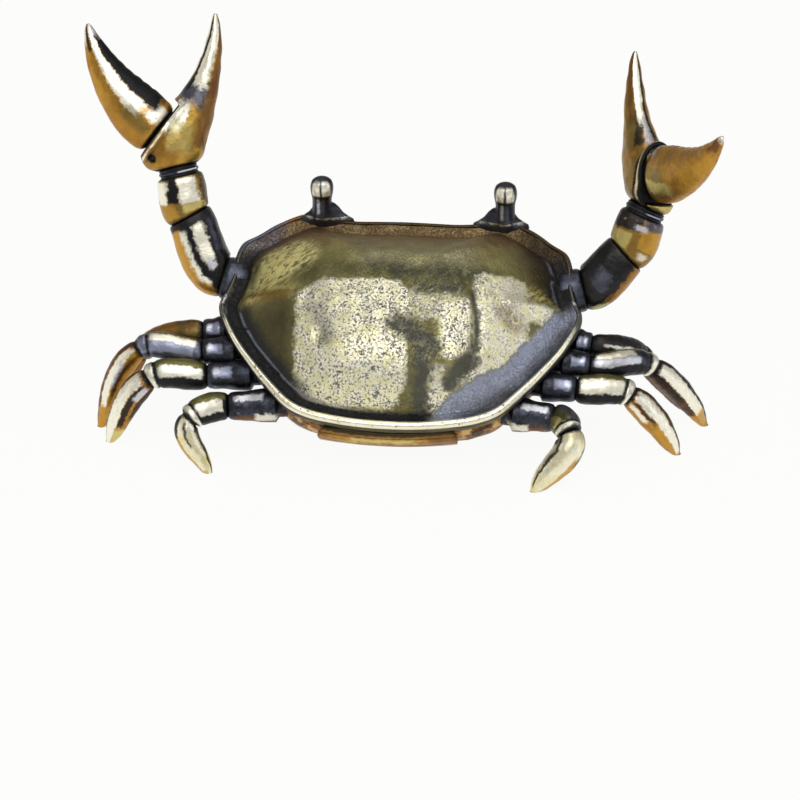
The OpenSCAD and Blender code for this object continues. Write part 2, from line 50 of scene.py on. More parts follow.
SHELL_W, SHELL_L, DOME_H, EDGE_T, RIM_W = 40, 27, 5.6, 1.3, 1.2
SHELL_TILT, SHELL_Z, UNDER_H, OVERHANG = 33, 14, 6.6, 0.5
TAIL_W, TAIL_T, TAIL_X = 15.2, 0.9, -0.5
EYE_X, EYE_D, EYE_H, LIP_W = (9.4, 10.9), 2.6, 4.9, 5.6
SHOULDER_X, SHOULDER_UP, SHOULDER_D = 19.9, 1.6, 4.3
UPPER_ARM_L, UPPER_ARM_D = (7.8, 6.1), 5.4
FOREARM_L, FOREARM_D, WRIST_L, WRIST_D = 4.6, 5.4, 0.9, 4.4
ARM_LEAN = {LEFT: (31, 14), RIGHT: (47, 22)}
ARM_FORWARD, CLAW_FORWARD = 18, 22
PALM_L, PALM_W, PALM_T, FIXED_FINGER_L = 7.2, 6.6, 4.8, 9.8
FINGER_L, FINGER_W, FINGER_T = 14.2, 6.3, 4
FINGER_TURN = {LEFT: 36, RIGHT: -4}
FINGER_BEND = {LEFT: 41, RIGHT: 50}
CLAW_TWIST = {LEFT: 0, RIGHT: 60}
CLAW_SEAT_LEAN = {LEFT: 15, RIGHT: 24}
HIP_D, THIGH_D, SEAM_D = (2.8, 2.8, 2.8, 3.1), (3, 3, 3.4, 3.3), 2.1
SHIN_D, TIP_FLAT = {LEFT: (2.6, 2.7, 3.1, 2.6), RIGHT: (2.6, 2.9, 3.1, 3.3)}, 0.8
HIP_OUT = {LEFT: (2.2, 3.3, 4.6, 5), RIGHT: (1.4, 2.7, 3.4, 4.2)}
KNEE_X = {LEFT: (29.1, 28.4, 27.1, 22.1), RIGHT: (26.9, 27.7, 25.3, 19.1)}
KNEE_Z = {LEFT: (7.3, 10, 7.9, 5.6), RIGHT: (7.3, 8.4, 7.4, 6)}
TIP_X = {LEFT: (32.6, 33.2, 31.7, 20), RIGHT: (31.3, 33.7, 30.7, 15.5)}
TIP_Y = {LEFT: (6, 0.6, -2.8, -8.9), RIGHT: (10, 6.1, -0.8, -10.3)}
HIP_SHARE, HIP_DROP = (0, -0.11, -0.22, -0.355), (3.8, 3, 3.1, 3.1)
MID_SHIFT = np.array((1, -4.4, 0))  # from the shell's middle to the middle of the row's frame
MM = 1000  # millimetres in a metre
SHELL_AT = np.array((0, 0.048 * SHELL_L, SHELL_Z))
UP, FRONT = np.array((0, 0, 1.0)), np.array((0, -0.9, 0.44))
HALF_OUTLINE = (
    (0, 0.478), (0.15, 0.476), (0.3, 0.474), (0.44, 0.484), (0.56, 0.504), (0.7, 0.458), (0.81, 0.398),
    (0.9, 0.35), (0.935, 0.28), (0.94, 0.21), (0.965, 0.13), (1, 0.052), (0.97, -0.03), (0.9, -0.13),
    (0.8, -0.232), (0.7, -0.322), (0.59, -0.408), (0.47, -0.455), (0.32, -0.48), (0.16, -0.494),
    (0, -0.498),
)


# Vectors, curves and profiles


def unit(v):
    v = np.asarray(v, float)
    return v / np.linalg.norm(v)


def cosd(a):
    return math.cos(math.radians(a))


def sind(a):
    return math.sin(math.radians(a))


def smooth_step(x, low, high):
    t = np.clip((np.asarray(x, float) - low) / (high - low), 0, 1)
    return t * t * (3 - 2 * t)


def from_shell(p):
    """From the shell's own frame to the ground's frame."""
    p = np.asarray(p, float)
    c, s = cosd(SHELL_TILT), sind(SHELL_TILT)
    return SHELL_AT + np.stack(
        (p[..., 0], p[..., 1] * c - p[..., 2] * s, p[..., 1] * s + p[..., 2] * c), -1
    )


def eased(stations, values):
    """A smooth curve through values at stations that never overshoots them."""
    x, y = np.asarray(stations, float), np.asarray(values, float)
    h, d = np.diff(x), np.diff(y) / np.diff(x)
    m = np.concatenate(([d[0]], np.zeros(len(x) - 2), [d[-1]]))
    for i in range(1, len(x) - 1):
        if d[i - 1] * d[i] > 0:
            w1, w2 = 2 * h[i] + h[i - 1], h[i] + 2 * h[i - 1]
            m[i] = (w1 + w2) / (w1 / d[i - 1] + w2 / d[i])

    def at(t):
        t = np.clip(np.asarray(t, float), x[0], x[-1])
        i = np.clip(np.searchsorted(x, t, side="right") - 1, 0, len(x) - 2)
        u = (t - x[i]) / h[i]
        a, b = (1 + 2 * u) * (1 - u) ** 2, u * (1 - u) ** 2
        c, e = u * u * (3 - 2 * u), u * u * (u - 1)
        return a * y[i] + b * h[i] * m[i] + c * y[i + 1] + e * h[i] * m[i + 1]

    return at


class Run:
    """The line that a limb piece follows, from seam p to seam q, leaving along tp and arriving along tq."""

    def __init__(self, p, q, tp, tq):
        reach = np.linalg.norm(np.subtract(q, p)) / 3
        self.points = np.array(
            (p, np.add(p, np.multiply(tp, reach)), np.subtract(q, np.multiply(tq, reach)), q), float
        )

    def at(self, t):
        t = np.asarray(t, float)[..., None]
        a, b, c, d = self.points
        return a * (1 - t) ** 3 + 3 * b * t * (1 - t) ** 2 + 3 * c * t * t * (1 - t) + d * t**3

    def slope(self, t):
        t = np.asarray(t, float)[..., None]
        a, b, c, d = self.points
        v = (b - a) * (1 - t) ** 2 + 2 * (c - b) * t * (1 - t) + (d - c) * t * t
        return v / np.linalg.norm(v, axis=-1, keepdims=True)

    def wrap(self, points, flip=1):
        """For each point its turn round the line, as sine and cosine from the side that faces
        rear and up, and its share along it."""
        shares = np.linspace(0, 1, 121)
        line = self.at(shares)
        nearest = np.argmin(((points[:, None, :] - line[None]) ** 2).sum(-1), axis=1)
        t = shares[nearest]
        slope = self.slope(t)
        offset = ((points - line[nearest]) * slope).sum(-1)
        length = np.linalg.norm(np.diff(line, axis=0), axis=1).sum()
        front = FRONT - slope * (slope @ FRONT)[:, None]
        front /= np.linalg.norm(front, axis=1, keepdims=True)
        side = np.cross(front, slope) * flip
        away = points - line[nearest]
        across, ahead = (away * side).sum(-1), (away * front).sum(-1)
        size = np.maximum(np.hypot(across, ahead), 1e-6)
        return np.stack((across / size, ahead / size, t + offset / length), -1)


def ring(centre, slope, up, a, b, n, e):
    side = unit(np.cross(up, slope))
    other = np.cross(slope, side)
    q = np.arange(n) * 2 * math.pi / n
    c, s = np.cos(q), np.sin(q)
    c, s = np.sign(c) * np.abs(c) ** e, np.sign(s) * np.abs(s) ** e
    return centre + np.outer(c * a, side) + np.outer(s * b, other)


def hand_finish(points, amount, seed=0.0):
    """The slight unevenness that filing and polishing by hand leaves on a casting."""
    x, y, z = points.T
    wave = (
        np.sin(1.9 * x + 1.3 * y - 0.8 * z + seed)
        + np.sin(-1.1 * x + 2.3 * y + 1.7 * z + 2.1 * seed)
        + 0.6 * np.sin(3.1 * x - 2.2 * y + 2.9 * z + 3.7 * seed)
        + 0.5 * np.sin(-4.3 * x - 3.7 * y + 3.3 * z + 1.3 * seed)
    )
    return wave * amount / 2


def swollen(ring_points, centre, amounts):
    """A ring of points moved out from its centre, each by its own amount."""
    away = ring_points - centre
    size = np.maximum(np.linalg.norm(away, axis=1, keepdims=True), 1e-6)
    return ring_points + away / size * amounts[:, None]


# Meshes


class Cast:
    """A closed mesh in millimetres before it becomes an object: points, faces, and its wear
    from -1, a dark hollow, to 1, a bright edge."""

    def __init__(self, points, faces, wear=None):
        self.points = np.asarray(points, float)
        self.faces = faces
        self.wear = np.zeros(len(self.points)) if wear is None else np.asarray(wear, float)


def lofted(rings, wear=None):
    """A closed skin through rings of the same number of points, each end closed by a fan."""
    m, n = len(rings), len(rings[0])
    points = np.concatenate([*rings, [np.mean(rings[0], 0)], [np.mean(rings[-1], 0)]])
    faces = []
    for i in range(m - 1):
        for k in range(n):
            a, b = i * n + k, i * n + (k + 1) % n
            faces.append((a, b, b + n, a + n))
    for k in range(n):
        faces.append((m * n, (k + 1) % n, k))
        faces.append((m * n + 1, (m - 1) * n + k, (m - 1) * n + (k + 1) % n))
    if wear is None:
        wear = np.zeros(m)
    spread = np.concatenate([np.repeat(wear, n), [wear[0], wear[-1]]])
    return Cast(points, faces, spread)


def limb(run, profile, e=0.95, n=56, steps=64, up=FRONT, uneven=0.035, ridge=None):
    """A limb piece along a run. Profile rows are share along, half width, half thickness and wear."""
    rows = np.array(profile, float)
    dense = np.unique(np.concatenate((np.linspace(0, 1, steps), rows[:, 0])))
    wide, thick = eased(rows[:, 0], rows[:, 1])(dense), eased(rows[:, 0], rows[:, 2])(dense)
    wear = np.interp(dense, rows[:, 0], rows[:, 3])
    seed = float(run.points[0].sum())
    rings = []
    for t, a, b in zip(dense, wide, thick):
        centre, slope = run.at(t), run.slope(t)
        r = ring(centre, slope, up, a, b, n, e)
        if ridge is not None:
            turn = np.arange(n) * 360 / n
            r = centre + (r - centre) * (1 + ridge(turn, t))[:, None]
        fade = min(1.0, 6 * t, 6 * (1 - t))
        rings.append(swollen(r, centre, hand_finish(r, uneven, seed) * fade))
    return lofted(rings, wear)


def sized(radius, rows):
    """Profile rows whose half width and half thickness are shares of a radius."""
    return tuple((t, radius * a, radius * b, wear) for t, a, b, wear in rows)


def turned(profile, n=48):
    """A piece turned about a vertical line, from rows of radius, height and wear, lowest first."""
    rows = np.array(profile, float)
    rings = []
    q = np.arange(n) * 2 * math.pi / n
    for r, z, _ in rows:
        rings.append(np.stack((r * np.cos(q), r * np.sin(q), np.full(n, z)), -1))
    return lofted(rings, rows[:, 2])


def as_mesh(name, cast):
    mesh = bpy.data.meshes.new(name)
    mesh.from_pydata([tuple(p) for p in cast.points], [], cast.faces)
    mesh.update()
    return mesh


def as_object(name, mesh):
    piece = bpy.data.objects.new(name, mesh)
    bpy.context.scene.collection.objects.link(piece)
    return piece


def settled(piece):
    """The piece's mesh with its modifiers worked in, and the modifiers taken off."""
    bpy.context.view_layer.update()
    shape = piece.evaluated_get(bpy.context.evaluated_depsgraph_get())
    mesh = bpy.data.meshes.new_from_object(shape)
    piece.modifiers.clear()
    old, piece.data = piece.data, mesh
    bpy.data.meshes.remove(old)
    return mesh


def points_of(mesh):
    co = np.empty(len(mesh.vertices) * 3)
    mesh.vertices.foreach_get("co", co)
    return co.reshape(-1, 3)


def melted(name, body, added=(), cut=(), voxel=0.13, smooth=2):
    """Solids joined and cut as one casting, with softly rounded edges. The sculpt stays in millimetres."""
    piece = as_object(name, as_mesh(name, body))
    helpers = []
    for kind, casts in (("UNION", added), ("DIFFERENCE", cut)):
        for c in casts:
            helper = as_object(name + "_helper", as_mesh(name + "_helper", c))
            helpers.append(helper)
            step = piece.modifiers.new(kind.lower(), "BOOLEAN")
            step.operation, step.solver, step.object = kind, "EXACT", helper
    remesh = piece.modifiers.new("melt", "REMESH")
    remesh.mode, remesh.voxel_size = "VOXEL", voxel
    soften = piece.modifiers.new("soften", "SMOOTH")
    soften.factor, soften.iterations = 0.5, smooth
    mesh = settled(piece)
    for helper in helpers:
        old = helper.data
        bpy.data.objects.remove(helper)
        bpy.data.meshes.remove(old)
    points = points_of(mesh)
    faces = [tuple(p.vertices) for p in mesh.polygons]
    bpy.data.objects.remove(piece)
    bpy.data.meshes.remove(mesh)
    return Cast(points, faces)


def set_values(mesh, name, kind, values):
    attribute = mesh.attributes.new(name, kind, "POINT")
    field = "vector" if kind == "FLOAT_VECTOR" else "value"
    attribute.data.foreach_set(field, np.asarray(values, np.float32).ravel())


def piece(name, cast, material, nodes, slot, wrap=None):
    """Puts a cast piece in the scene, in metres and in the row's frame, in the place of its CAD nodes."""
    placed = Cast((cast.points + MID_SHIFT) / MM, cast.faces, cast.wear)
    mesh = as_mesh(name, placed)
    mesh.polygons.foreach_set("use_smooth", [True] * len(mesh.polygons))
    set_values(mesh, "wear", "FLOAT", cast.wear)
    if wrap is not None:
        set_values(mesh, "wrap", "FLOAT_VECTOR", wrap)
    mesh.materials.append(material)
    made = as_object(name, mesh)
    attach(made, "root")
    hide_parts(*nodes)
    return made


def limb_piece(part, kind, name, cast, finishes, slot, run, flip=1):
    """Hands over one casting of an arm or a leg, with its place along the limb and round it."""
    wrap = run.wrap(cast.points, flip)
    piece(f"{part}_{kind}_{name}", cast, finishes[part], [f"{part}_{name}"], slot, wrap)


# Finishes


def shade(r, g, b):
    """A colour as the eye reads it on a screen, 0 to 255, turned into the light that it stands for."""
    shares = (v / 255 for v in (r, g, b))
    return tuple(v / 12.92 if v <= 0.04045 else ((v + 0.055) / 1.055) ** 2.4 for v in shares) + (1,)


CREAM, SILVER, LILAC = shade(252, 248, 228), shade(226, 226, 232), shade(164, 170, 192)
GOLD, OCHRE, STRAW = shade(198, 150, 62), shade(158, 112, 42), shade(224, 210, 132)
OLIVE, BROWN, UMBER = shade(118, 114, 66), shade(112, 74, 44), shade(66, 54, 36)
SLATE, SOOT, SHADOW = shade(84, 88, 102), shade(38, 38, 40), shade(58, 56, 54)


def both_ways(operation):
    """An operation's plain form and its reflected form, for a number on the left."""

    def plain(self, other):
        return self.finish.maths(operation, self, other)

    def reflected(self, other):
        return self.finish.maths(operation, other, self)

    return plain, reflected


class Shade:
    """A number on its way through a finish, for ordinary arithmetic."""

    __add__, __radd__ = both_ways("ADD")
    __sub__, __rsub__ = both_ways("SUBTRACT")
    __mul__, __rmul__ = both_ways("MULTIPLY")
    __truediv__, __rtruediv__ = both_ways("DIVIDE")
    __pow__, __rpow__ = both_ways("POWER")
    most, _ = both_ways("MAXIMUM")
    least, _ = both_ways("MINIMUM")

    def __init__(self, finish, socket):
        self.finish, self.socket = finish, socket

    def __neg__(self):
        return 0.0 - self

    def __abs__(self):
        return self.finish.maths("ABSOLUTE", self)

    def held(self):
        """Kept from 0 to 1."""
        return self.most(0.0).least(1.0)

    def rise(self, low, high):
        """0 up to low, 1 from high on, and even between them. A falling step has low above high."""
        return ((self - low) / (high - low)).held()

    def within(self, low, high, soft):
        """1 between low and high, fading over soft at either end."""
        return self.rise(low - soft / 2, low + soft / 2) * self.rise(high + soft / 2, high - soft / 2)


def add_node(tree, kind, settings=None, sockets=None):
    """A node in any tree: its settings first, then the values or links of its sockets."""
    node = tree.nodes.new(kind)
    for key, value in (settings or {}).items():
        setattr(node, key, value)
    for key, value in (sockets or {}).items():
        value = value.socket if isinstance(value, Shade) else value
        if isinstance(value, bpy.types.NodeSocket):
            tree.links.new(value, node.inputs[key])
        else:
            node.inputs[key].default_value = value
    return node


class Finish:
    """One material and the nodes that make it."""

    def __init__(self, name):
        self.material = bpy.data.materials.new(name)
        self.material.use_nodes = True
        self.tree = self.material.node_tree
        self.tree.nodes.clear()
        place = self.add("ShaderNodeTexCoord").outputs["Object"]
        scaled = self.add("ShaderNodeVectorMath", {"operation": "SCALE"}, {0: place, "Scale": float(MM)})
        self.mm = scaled.outputs[0]

    def add(self, kind, settings=None, sockets=None):
        """Any other node."""
        return add_node(self.tree, kind, settings, sockets)

    def maths(self, operation, *values):
        node = self.add("ShaderNodeMath", {"operation": operation}, dict(enumerate(values)))
        return Shade(self, node.outputs[0])

    def read(self, name):
        """A value stored on the mesh."""
        return Shade(self, self.add("ShaderNodeAttribute", {"attribute_name": name}).outputs["Fac"])

    def parts(self, vector):
        node = self.add("ShaderNodeSeparateXYZ", None, {0: vector})
        return [Shade(self, s) for s in node.outputs]

    def shell_place(self):
        """The place on the shell, in millimetres across, forward and up in its own frame."""
        middle = tuple(SHELL_AT + MID_SHIFT)
        lifted = self.add("ShaderNodeVectorMath", {"operation": "SUBTRACT"}, {0: self.mm, 1: middle})
        turn = {"Vector": lifted.outputs[0], "Angle": math.radians(-SHELL_TILT)}
        level = self.add("ShaderNodeVectorRotate", {"rotation_type": "X_AXIS"}, turn)
        return self.parts(level.outputs[0])

    def noise(self, grain, detail=2.0, rough=0.55, place=None):
        """Even cloudy noise from 0 to 1, about grain millimetres across."""
        sockets = {"Vector": place or self.mm, "Scale": 1 / grain, "Detail": detail, "Roughness": rough}
        return Shade(self, self.add("ShaderNodeTexNoise", None, sockets).outputs[0]).rise(0.25, 0.75)

    def mix(self, amount, one, other):
        """one where amount is 0, other where it is 1; both are colours."""
        node = self.add("ShaderNodeMix", {"data_type": "RGBA"}, {0: amount, 6: one, 7: other})
        return node.outputs[2]

    def paint(self, amount, coat):
        """A coat over the colour so far."""
        self.colour = self.mix(amount, self.colour, coat)

    def surface(self, roughness, metallic, height, depth):
        """Closes the material. Height, from 0 to 1, is a relief depth millimetres deep."""
        bump = self.add("ShaderNodeBump", None, {"Strength": 1.0, "Distance": depth / MM, "Height": height})
        looks = {"Base Color": self.colour, "Roughness": roughness, "Metallic": metallic}
        shader = self.add("ShaderNodeBsdfPrincipled", None, {**looks, "Normal": bump.outputs[0]})
        self.add("ShaderNodeOutputMaterial", None, {0: shader.outputs[0]})
        return self.material


def cast_metal(name, ground, fleck, strokes=(), ragged=1.0):
    """Cast alloy with patina: a ground colour with flecks of another, strokes of colour that are mostly
    painted highlights and painted dark and golden reflections, laid by turn towards the lamps, with some
    worn and darkened metal among them, dark hollows, bright edges and casting pits. A stroke is a colour,
    its share along, from and to, its turn round the piece in degrees, from and to, and how strong it is.
    Ragged is how far noise moves the edges of the strokes."""
    f = Finish(name)
    cloud, fine, pits = f.noise(2.2), f.noise(0.5, 3.0, 0.6), f.noise(0.16, 2.0, 0.7)
    wander = (cloud - 0.5) * 0.6 + (fine - 0.5) * 0.5
    wrap = f.add("ShaderNodeAttribute", {"attribute_name": "wrap"})
    turn_sine, turn_cosine, along = f.parts(wrap.outputs["Vector"])
    turn = f.maths("ARCTAN2", turn_sine, turn_cosine) * (180 / math.pi) + wander * (26 * ragged)
    along = along + wander * (0.09 * ragged)
    f.colour = f.mix((cloud * 0.9 + fine * 0.6 - 0.35).held(), ground, fleck)
    # The strokes: mostly painted highlights and painted dark and golden reflections, with some wear
    for tint, lengthwise, turned_by, strength in strokes:
        patch = along.within(*lengthwise, 0.05) * turn.within(*turned_by, 9.0) * strength
        f.paint(patch, tint)
    wear = f.read("wear") + (fine - 0.5) * 0.5
    f.paint(wear.rise(0.25, 0.8), CREAM)
    f.paint(wear.rise(-0.25, -0.8), SOOT)
    dots = (fine * 0.45 + pits * 0.75).rise(0.34, 0.2) * 0.5
    f.paint(dots, UMBER)
    rough = (0.34 - wear * 0.12 + dots * 0.3 + (cloud - 0.5) * 0.16).most(0.12)
    relief = fine * 0.5 + pits * 0.3 - dots * 0.6
    return f.surface(rough, 0.88, relief, 0.045)


# The shell's outline and relief, in its own frame


def smooth_outline(per_side=6):
    """The shell's outline as shares of half its width and of its length, from the front middle
    round by the left."""
    half = np.array(HALF_OUTLINE)
    closed = np.concatenate((half * (-1, 1), half[-2:0:-1]))
    made = []
    for i in range(len(closed)):
        p0, p1, p2, p3 = (closed[(i + j) % len(closed)] for j in (-1, 0, 1, 2))
        for t in np.arange(per_side) / per_side:
            bend, turn = 2 * p0 - 5 * p1 + 4 * p2 - p3, 3 * p1 - p0 - 3 * p2 + p3
            made.append(0.5 * (2 * p1 + (p2 - p0) * t + bend * t * t + turn * t**3))
    return np.array(made)


OUTLINE = smooth_outline()
DOME_W, DOME_L = SHELL_W / 2 - RIM_W * 1.6, SHELL_L - RIM_W * 3.2


def edge_ring(d, z):
    """The outline d inside the shell's edge, at height z."""
    x, y = OUTLINE[:, 0] * (SHELL_W / 2 - d), OUTLINE[:, 1] * (SHELL_L - 2 * d)
    return np.stack((x, y, np.full(len(OUTLINE), z)), -1)


def near_line(x, y, line):
    """Distance from points to a line of several stretches."""
    best = np.full(np.shape(x), 1e9)
    for (x0, y0), (x1, y1) in zip(line, line[1:]):
        along = ((x - x0) * (x1 - x0) + (y - y0) * (y1 - y0)) / ((x1 - x0) ** 2 + (y1 - y0) ** 2)
        along = np.clip(along, 0, 1)
        best = np.minimum(best, np.hypot(x - x0 - along * (x1 - x0), y - y0 - along * (y1 - y0)))
    return best


def shell_relief(x, y):
    """What the caster modelled on the dome: two dimples, the furrows beside the middle, the ridges
    to the side corners and a low brow in front."""
    relief = np.zeros(np.shape(x))
    for cx, cy, r in ((-7.9, -4.3, 0.95), (12.3, -1.4, 0.9)):
        relief -= 0.42 * np.exp(-((np.hypot(x - cx, y - cy) / r) ** 2))
    furrow = ((7.0, 3.2), (8.4, 1.0), (9.0, -3.2), (8.2, -7.2), (5.4, -9.2))
    relief -= 0.26 * np.exp(-((near_line(x, y, furrow) / 0.42) ** 2))
    other = ((-9.2, 1.4), (-11.2, -2.0), (-11.2, -6.0), (-9.8, -9.0))
    relief -= 0.12 * np.exp(-((near_line(x, y, other) / 0.5) ** 2))
    for s in (LEFT, RIGHT):
        ridge = ((s * 18.2, 1.6), (s * 15.4, 1.2), (s * 12.2, 0.6))
        relief += 0.34 * np.exp(-((near_line(x, y, ridge) / 0.6) ** 2))
    middle = ((2.6, 1.0), (4.6, -3.4), (5.0, -7.0))
    relief -= 0.14 * np.exp(-((near_line(x, y, middle) / 0.9) ** 2))
    brow = ((-8.0, 8.4), (-2.0, 6.6), (5.0, 6.6), (10.0, 8.2))
    relief += 0.22 * np.exp(-((near_line(x, y, brow) / 1.2) ** 2))
    return relief


def dome_ring(f):
    x, y = OUTLINE[:, 0] * DOME_W * f, OUTLINE[:, 1] * DOME_L * f
    z = DOME_H * (1 - f**3.2) * (1 - 0.12 * (OUTLINE[:, 1] * f + 0.5))
    fade = smooth_step(f, 1.0, 0.9)
    return np.stack((x, y, z + shell_relief(x, y) * fade - 0.1 * (1 - fade)), -1)


def make_shell(material, rim_material):
    edge = (
        (5.0, -1.3, -1), (2.4, -1.3, -1), (0.7, -1.3, -0.8), (0.4, -1.25, -0.2), (0.2, -1.1, 0.2),
        (0.1, -0.85, 0.1), (0.08, -0.5, 0), (0.1, -0.2, 0), (0.3, 0.05, 0), (0.6, 0.14, 0),
        (0.95, 0.1, -0.4), (1.25, 0.0, -0.9), (1.55, -0.08, -1), (1.8, -0.06, -0.8),
    )
    rings = [edge_ring(d, z) for d, z, _ in edge]
    wear = [w for _, _, w in edge]
    for f in np.concatenate((np.linspace(1, 0.9, 7), np.linspace(0.88, 0.04, 62))):
        rings.append(dome_ring(f))
        wear.append(-0.75 * float(smooth_step(f, 0.985, 1.0)))
    cast = lofted([from_shell(r) for r in rings], wear)
    shell_up = unit((0, -sind(SHELL_TILT), cosd(SHELL_TILT)))
    cast.points += shell_up * hand_finish(cast.points * 0.8, 0.05)[:, None]
    piece("shell_dome", cast, material, ["carapace"], "shell_brass")
    make_rim(rim_material)


def make_rim(material):
    """The bright bead on the shell's edge: an oval wire swept along the outline, thicker towards the rear."""
    line = edge_ring(0.5, 0.06)
    points = (from_shell(line) + MID_SHIFT) / MM
    curve = bpy.data.curves.new("rim_line", "CURVE")
    curve.dimensions = "3D"
    spline = curve.splines.new("POLY")
    spline.points.add(len(points) - 1)
    for p, (x, y, z) in zip(spline.points, points):
        p.co = (x, y, z, 1)
    spline.use_cyclic_u = True
    rim_line = as_object("rim_line", curve)
    tree = bpy.data.node_groups.new("rim_bead", "GeometryNodeTree")
    face = tree.interface
    face.new_socket("Line", in_out="INPUT", socket_type="NodeSocketGeometry")
    sizes = (("Half width", 0.00023), ("Rear swell", 1.0), ("Rear reach", 0.011), ("Rear from", -0.002))
    for label, value in sizes:
        face.new_socket(label, in_out="INPUT", socket_type="NodeSocketFloat").default_value = value
    face.new_socket("Metal", in_out="INPUT", socket_type="NodeSocketMaterial")
    face.new_socket("Bead", in_out="OUTPUT", socket_type="NodeSocketGeometry")

    def add(kind, settings=None, sockets=None):
        return add_node(tree, kind, settings, sockets).outputs

    given, place = add("NodeGroupInput"), add("GeometryNodeInputPosition")
    apart = add("ShaderNodeSeparateXYZ", None, {0: place[0]})
    far = add("ShaderNodeMath", {"operation": "SUBTRACT"}, {0: given["Rear from"], 1: given["Rear reach"]})
    stretch = {"Value": apart["Y"], "From Min": given["Rear from"], "From Max": far[0]}
    reach = add("ShaderNodeMapRange", {"interpolation_type": "SMOOTHSTEP"}, stretch)
    growth = {0: reach[0], 1: given["Rear swell"], 2: 1.0}
    swell = add("ShaderNodeMath", {"operation": "MULTIPLY_ADD"}, growth)
    oval = add("GeometryNodeCurvePrimitiveCircle", None, {"Resolution": 14, "Radius": given["Half width"]})
    sweep = {"Curve": given["Line"], "Profile Curve": oval[0], "Scale": swell[0]}
    wire = add("GeometryNodeCurveToMesh", None, sweep)
    real = add("GeometryNodeRealizeInstances", None, {0: wire[0]})
    smooth = add("GeometryNodeSetShadeSmooth", None, {0: real[0]})
    paint = add("GeometryNodeSetMaterial", None, {0: smooth[0], "Material": given["Metal"]})
    add("NodeGroupOutput", None, {0: paint[0]})
    step = rim_line.modifiers.new("rim_bead", "NODES")
    step.node_group = tree
    sockets = {s.name: s.identifier for s in face.items_tree if s.in_out == "INPUT"}
    step[sockets["Metal"]] = material
    bpy.context.view_layer.update()
    shape = rim_line.evaluated_get(bpy.context.evaluated_depsgraph_get())
    mesh = bpy.data.meshes.new_from_object(shape)
    bpy.data.objects.remove(rim_line)
    bead = as_object("shell_rim", mesh)
    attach(bead, "root")
    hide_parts("carapace")


def rim_finish():
    """The bead: bright at the rear and the sides, partly worn metal and partly painted highlight,
    painted shade past the corners with painted glints, and brown along the front.
    """
    f = Finish("rim_metal")
    x, y, z = f.shell_place()
    cloud, fine = f.noise(1.6), f.noise(0.45, 3.0, 0.6)
    ragged = (fine - 0.5) * 2.0
    f.colour = f.mix((cloud * 0.7).held(), CREAM, shade(238, 228, 188))
    # Painted shade over the bead past the corners, with painted glints on it
    f.paint((y + ragged).rise(-2.2, 0.2) * 0.92, SHADOW)
    f.paint(cloud.rise(0.62, 0.72) * y.rise(0.5, 2.0), SILVER)
    front_left = f.mix(x.rise(-12.6, -14.4), BROWN, SLATE)
    f.paint((y + ragged).rise(6.5, 9.0), f.mix(x.rise(-7.0, -11.0), UMBER, front_left))
    f.paint(z.rise(0.12, -0.12) * y.rise(-9.0, -11.0), GOLD)
    nicks = fine.rise(0.24, 0.14)
    f.paint(nicks * 0.7, UMBER)
    return f.surface((0.3 + nicks * 0.3).held(), 0.88, fine * 0.6 - nicks * 0.6, 0.04)


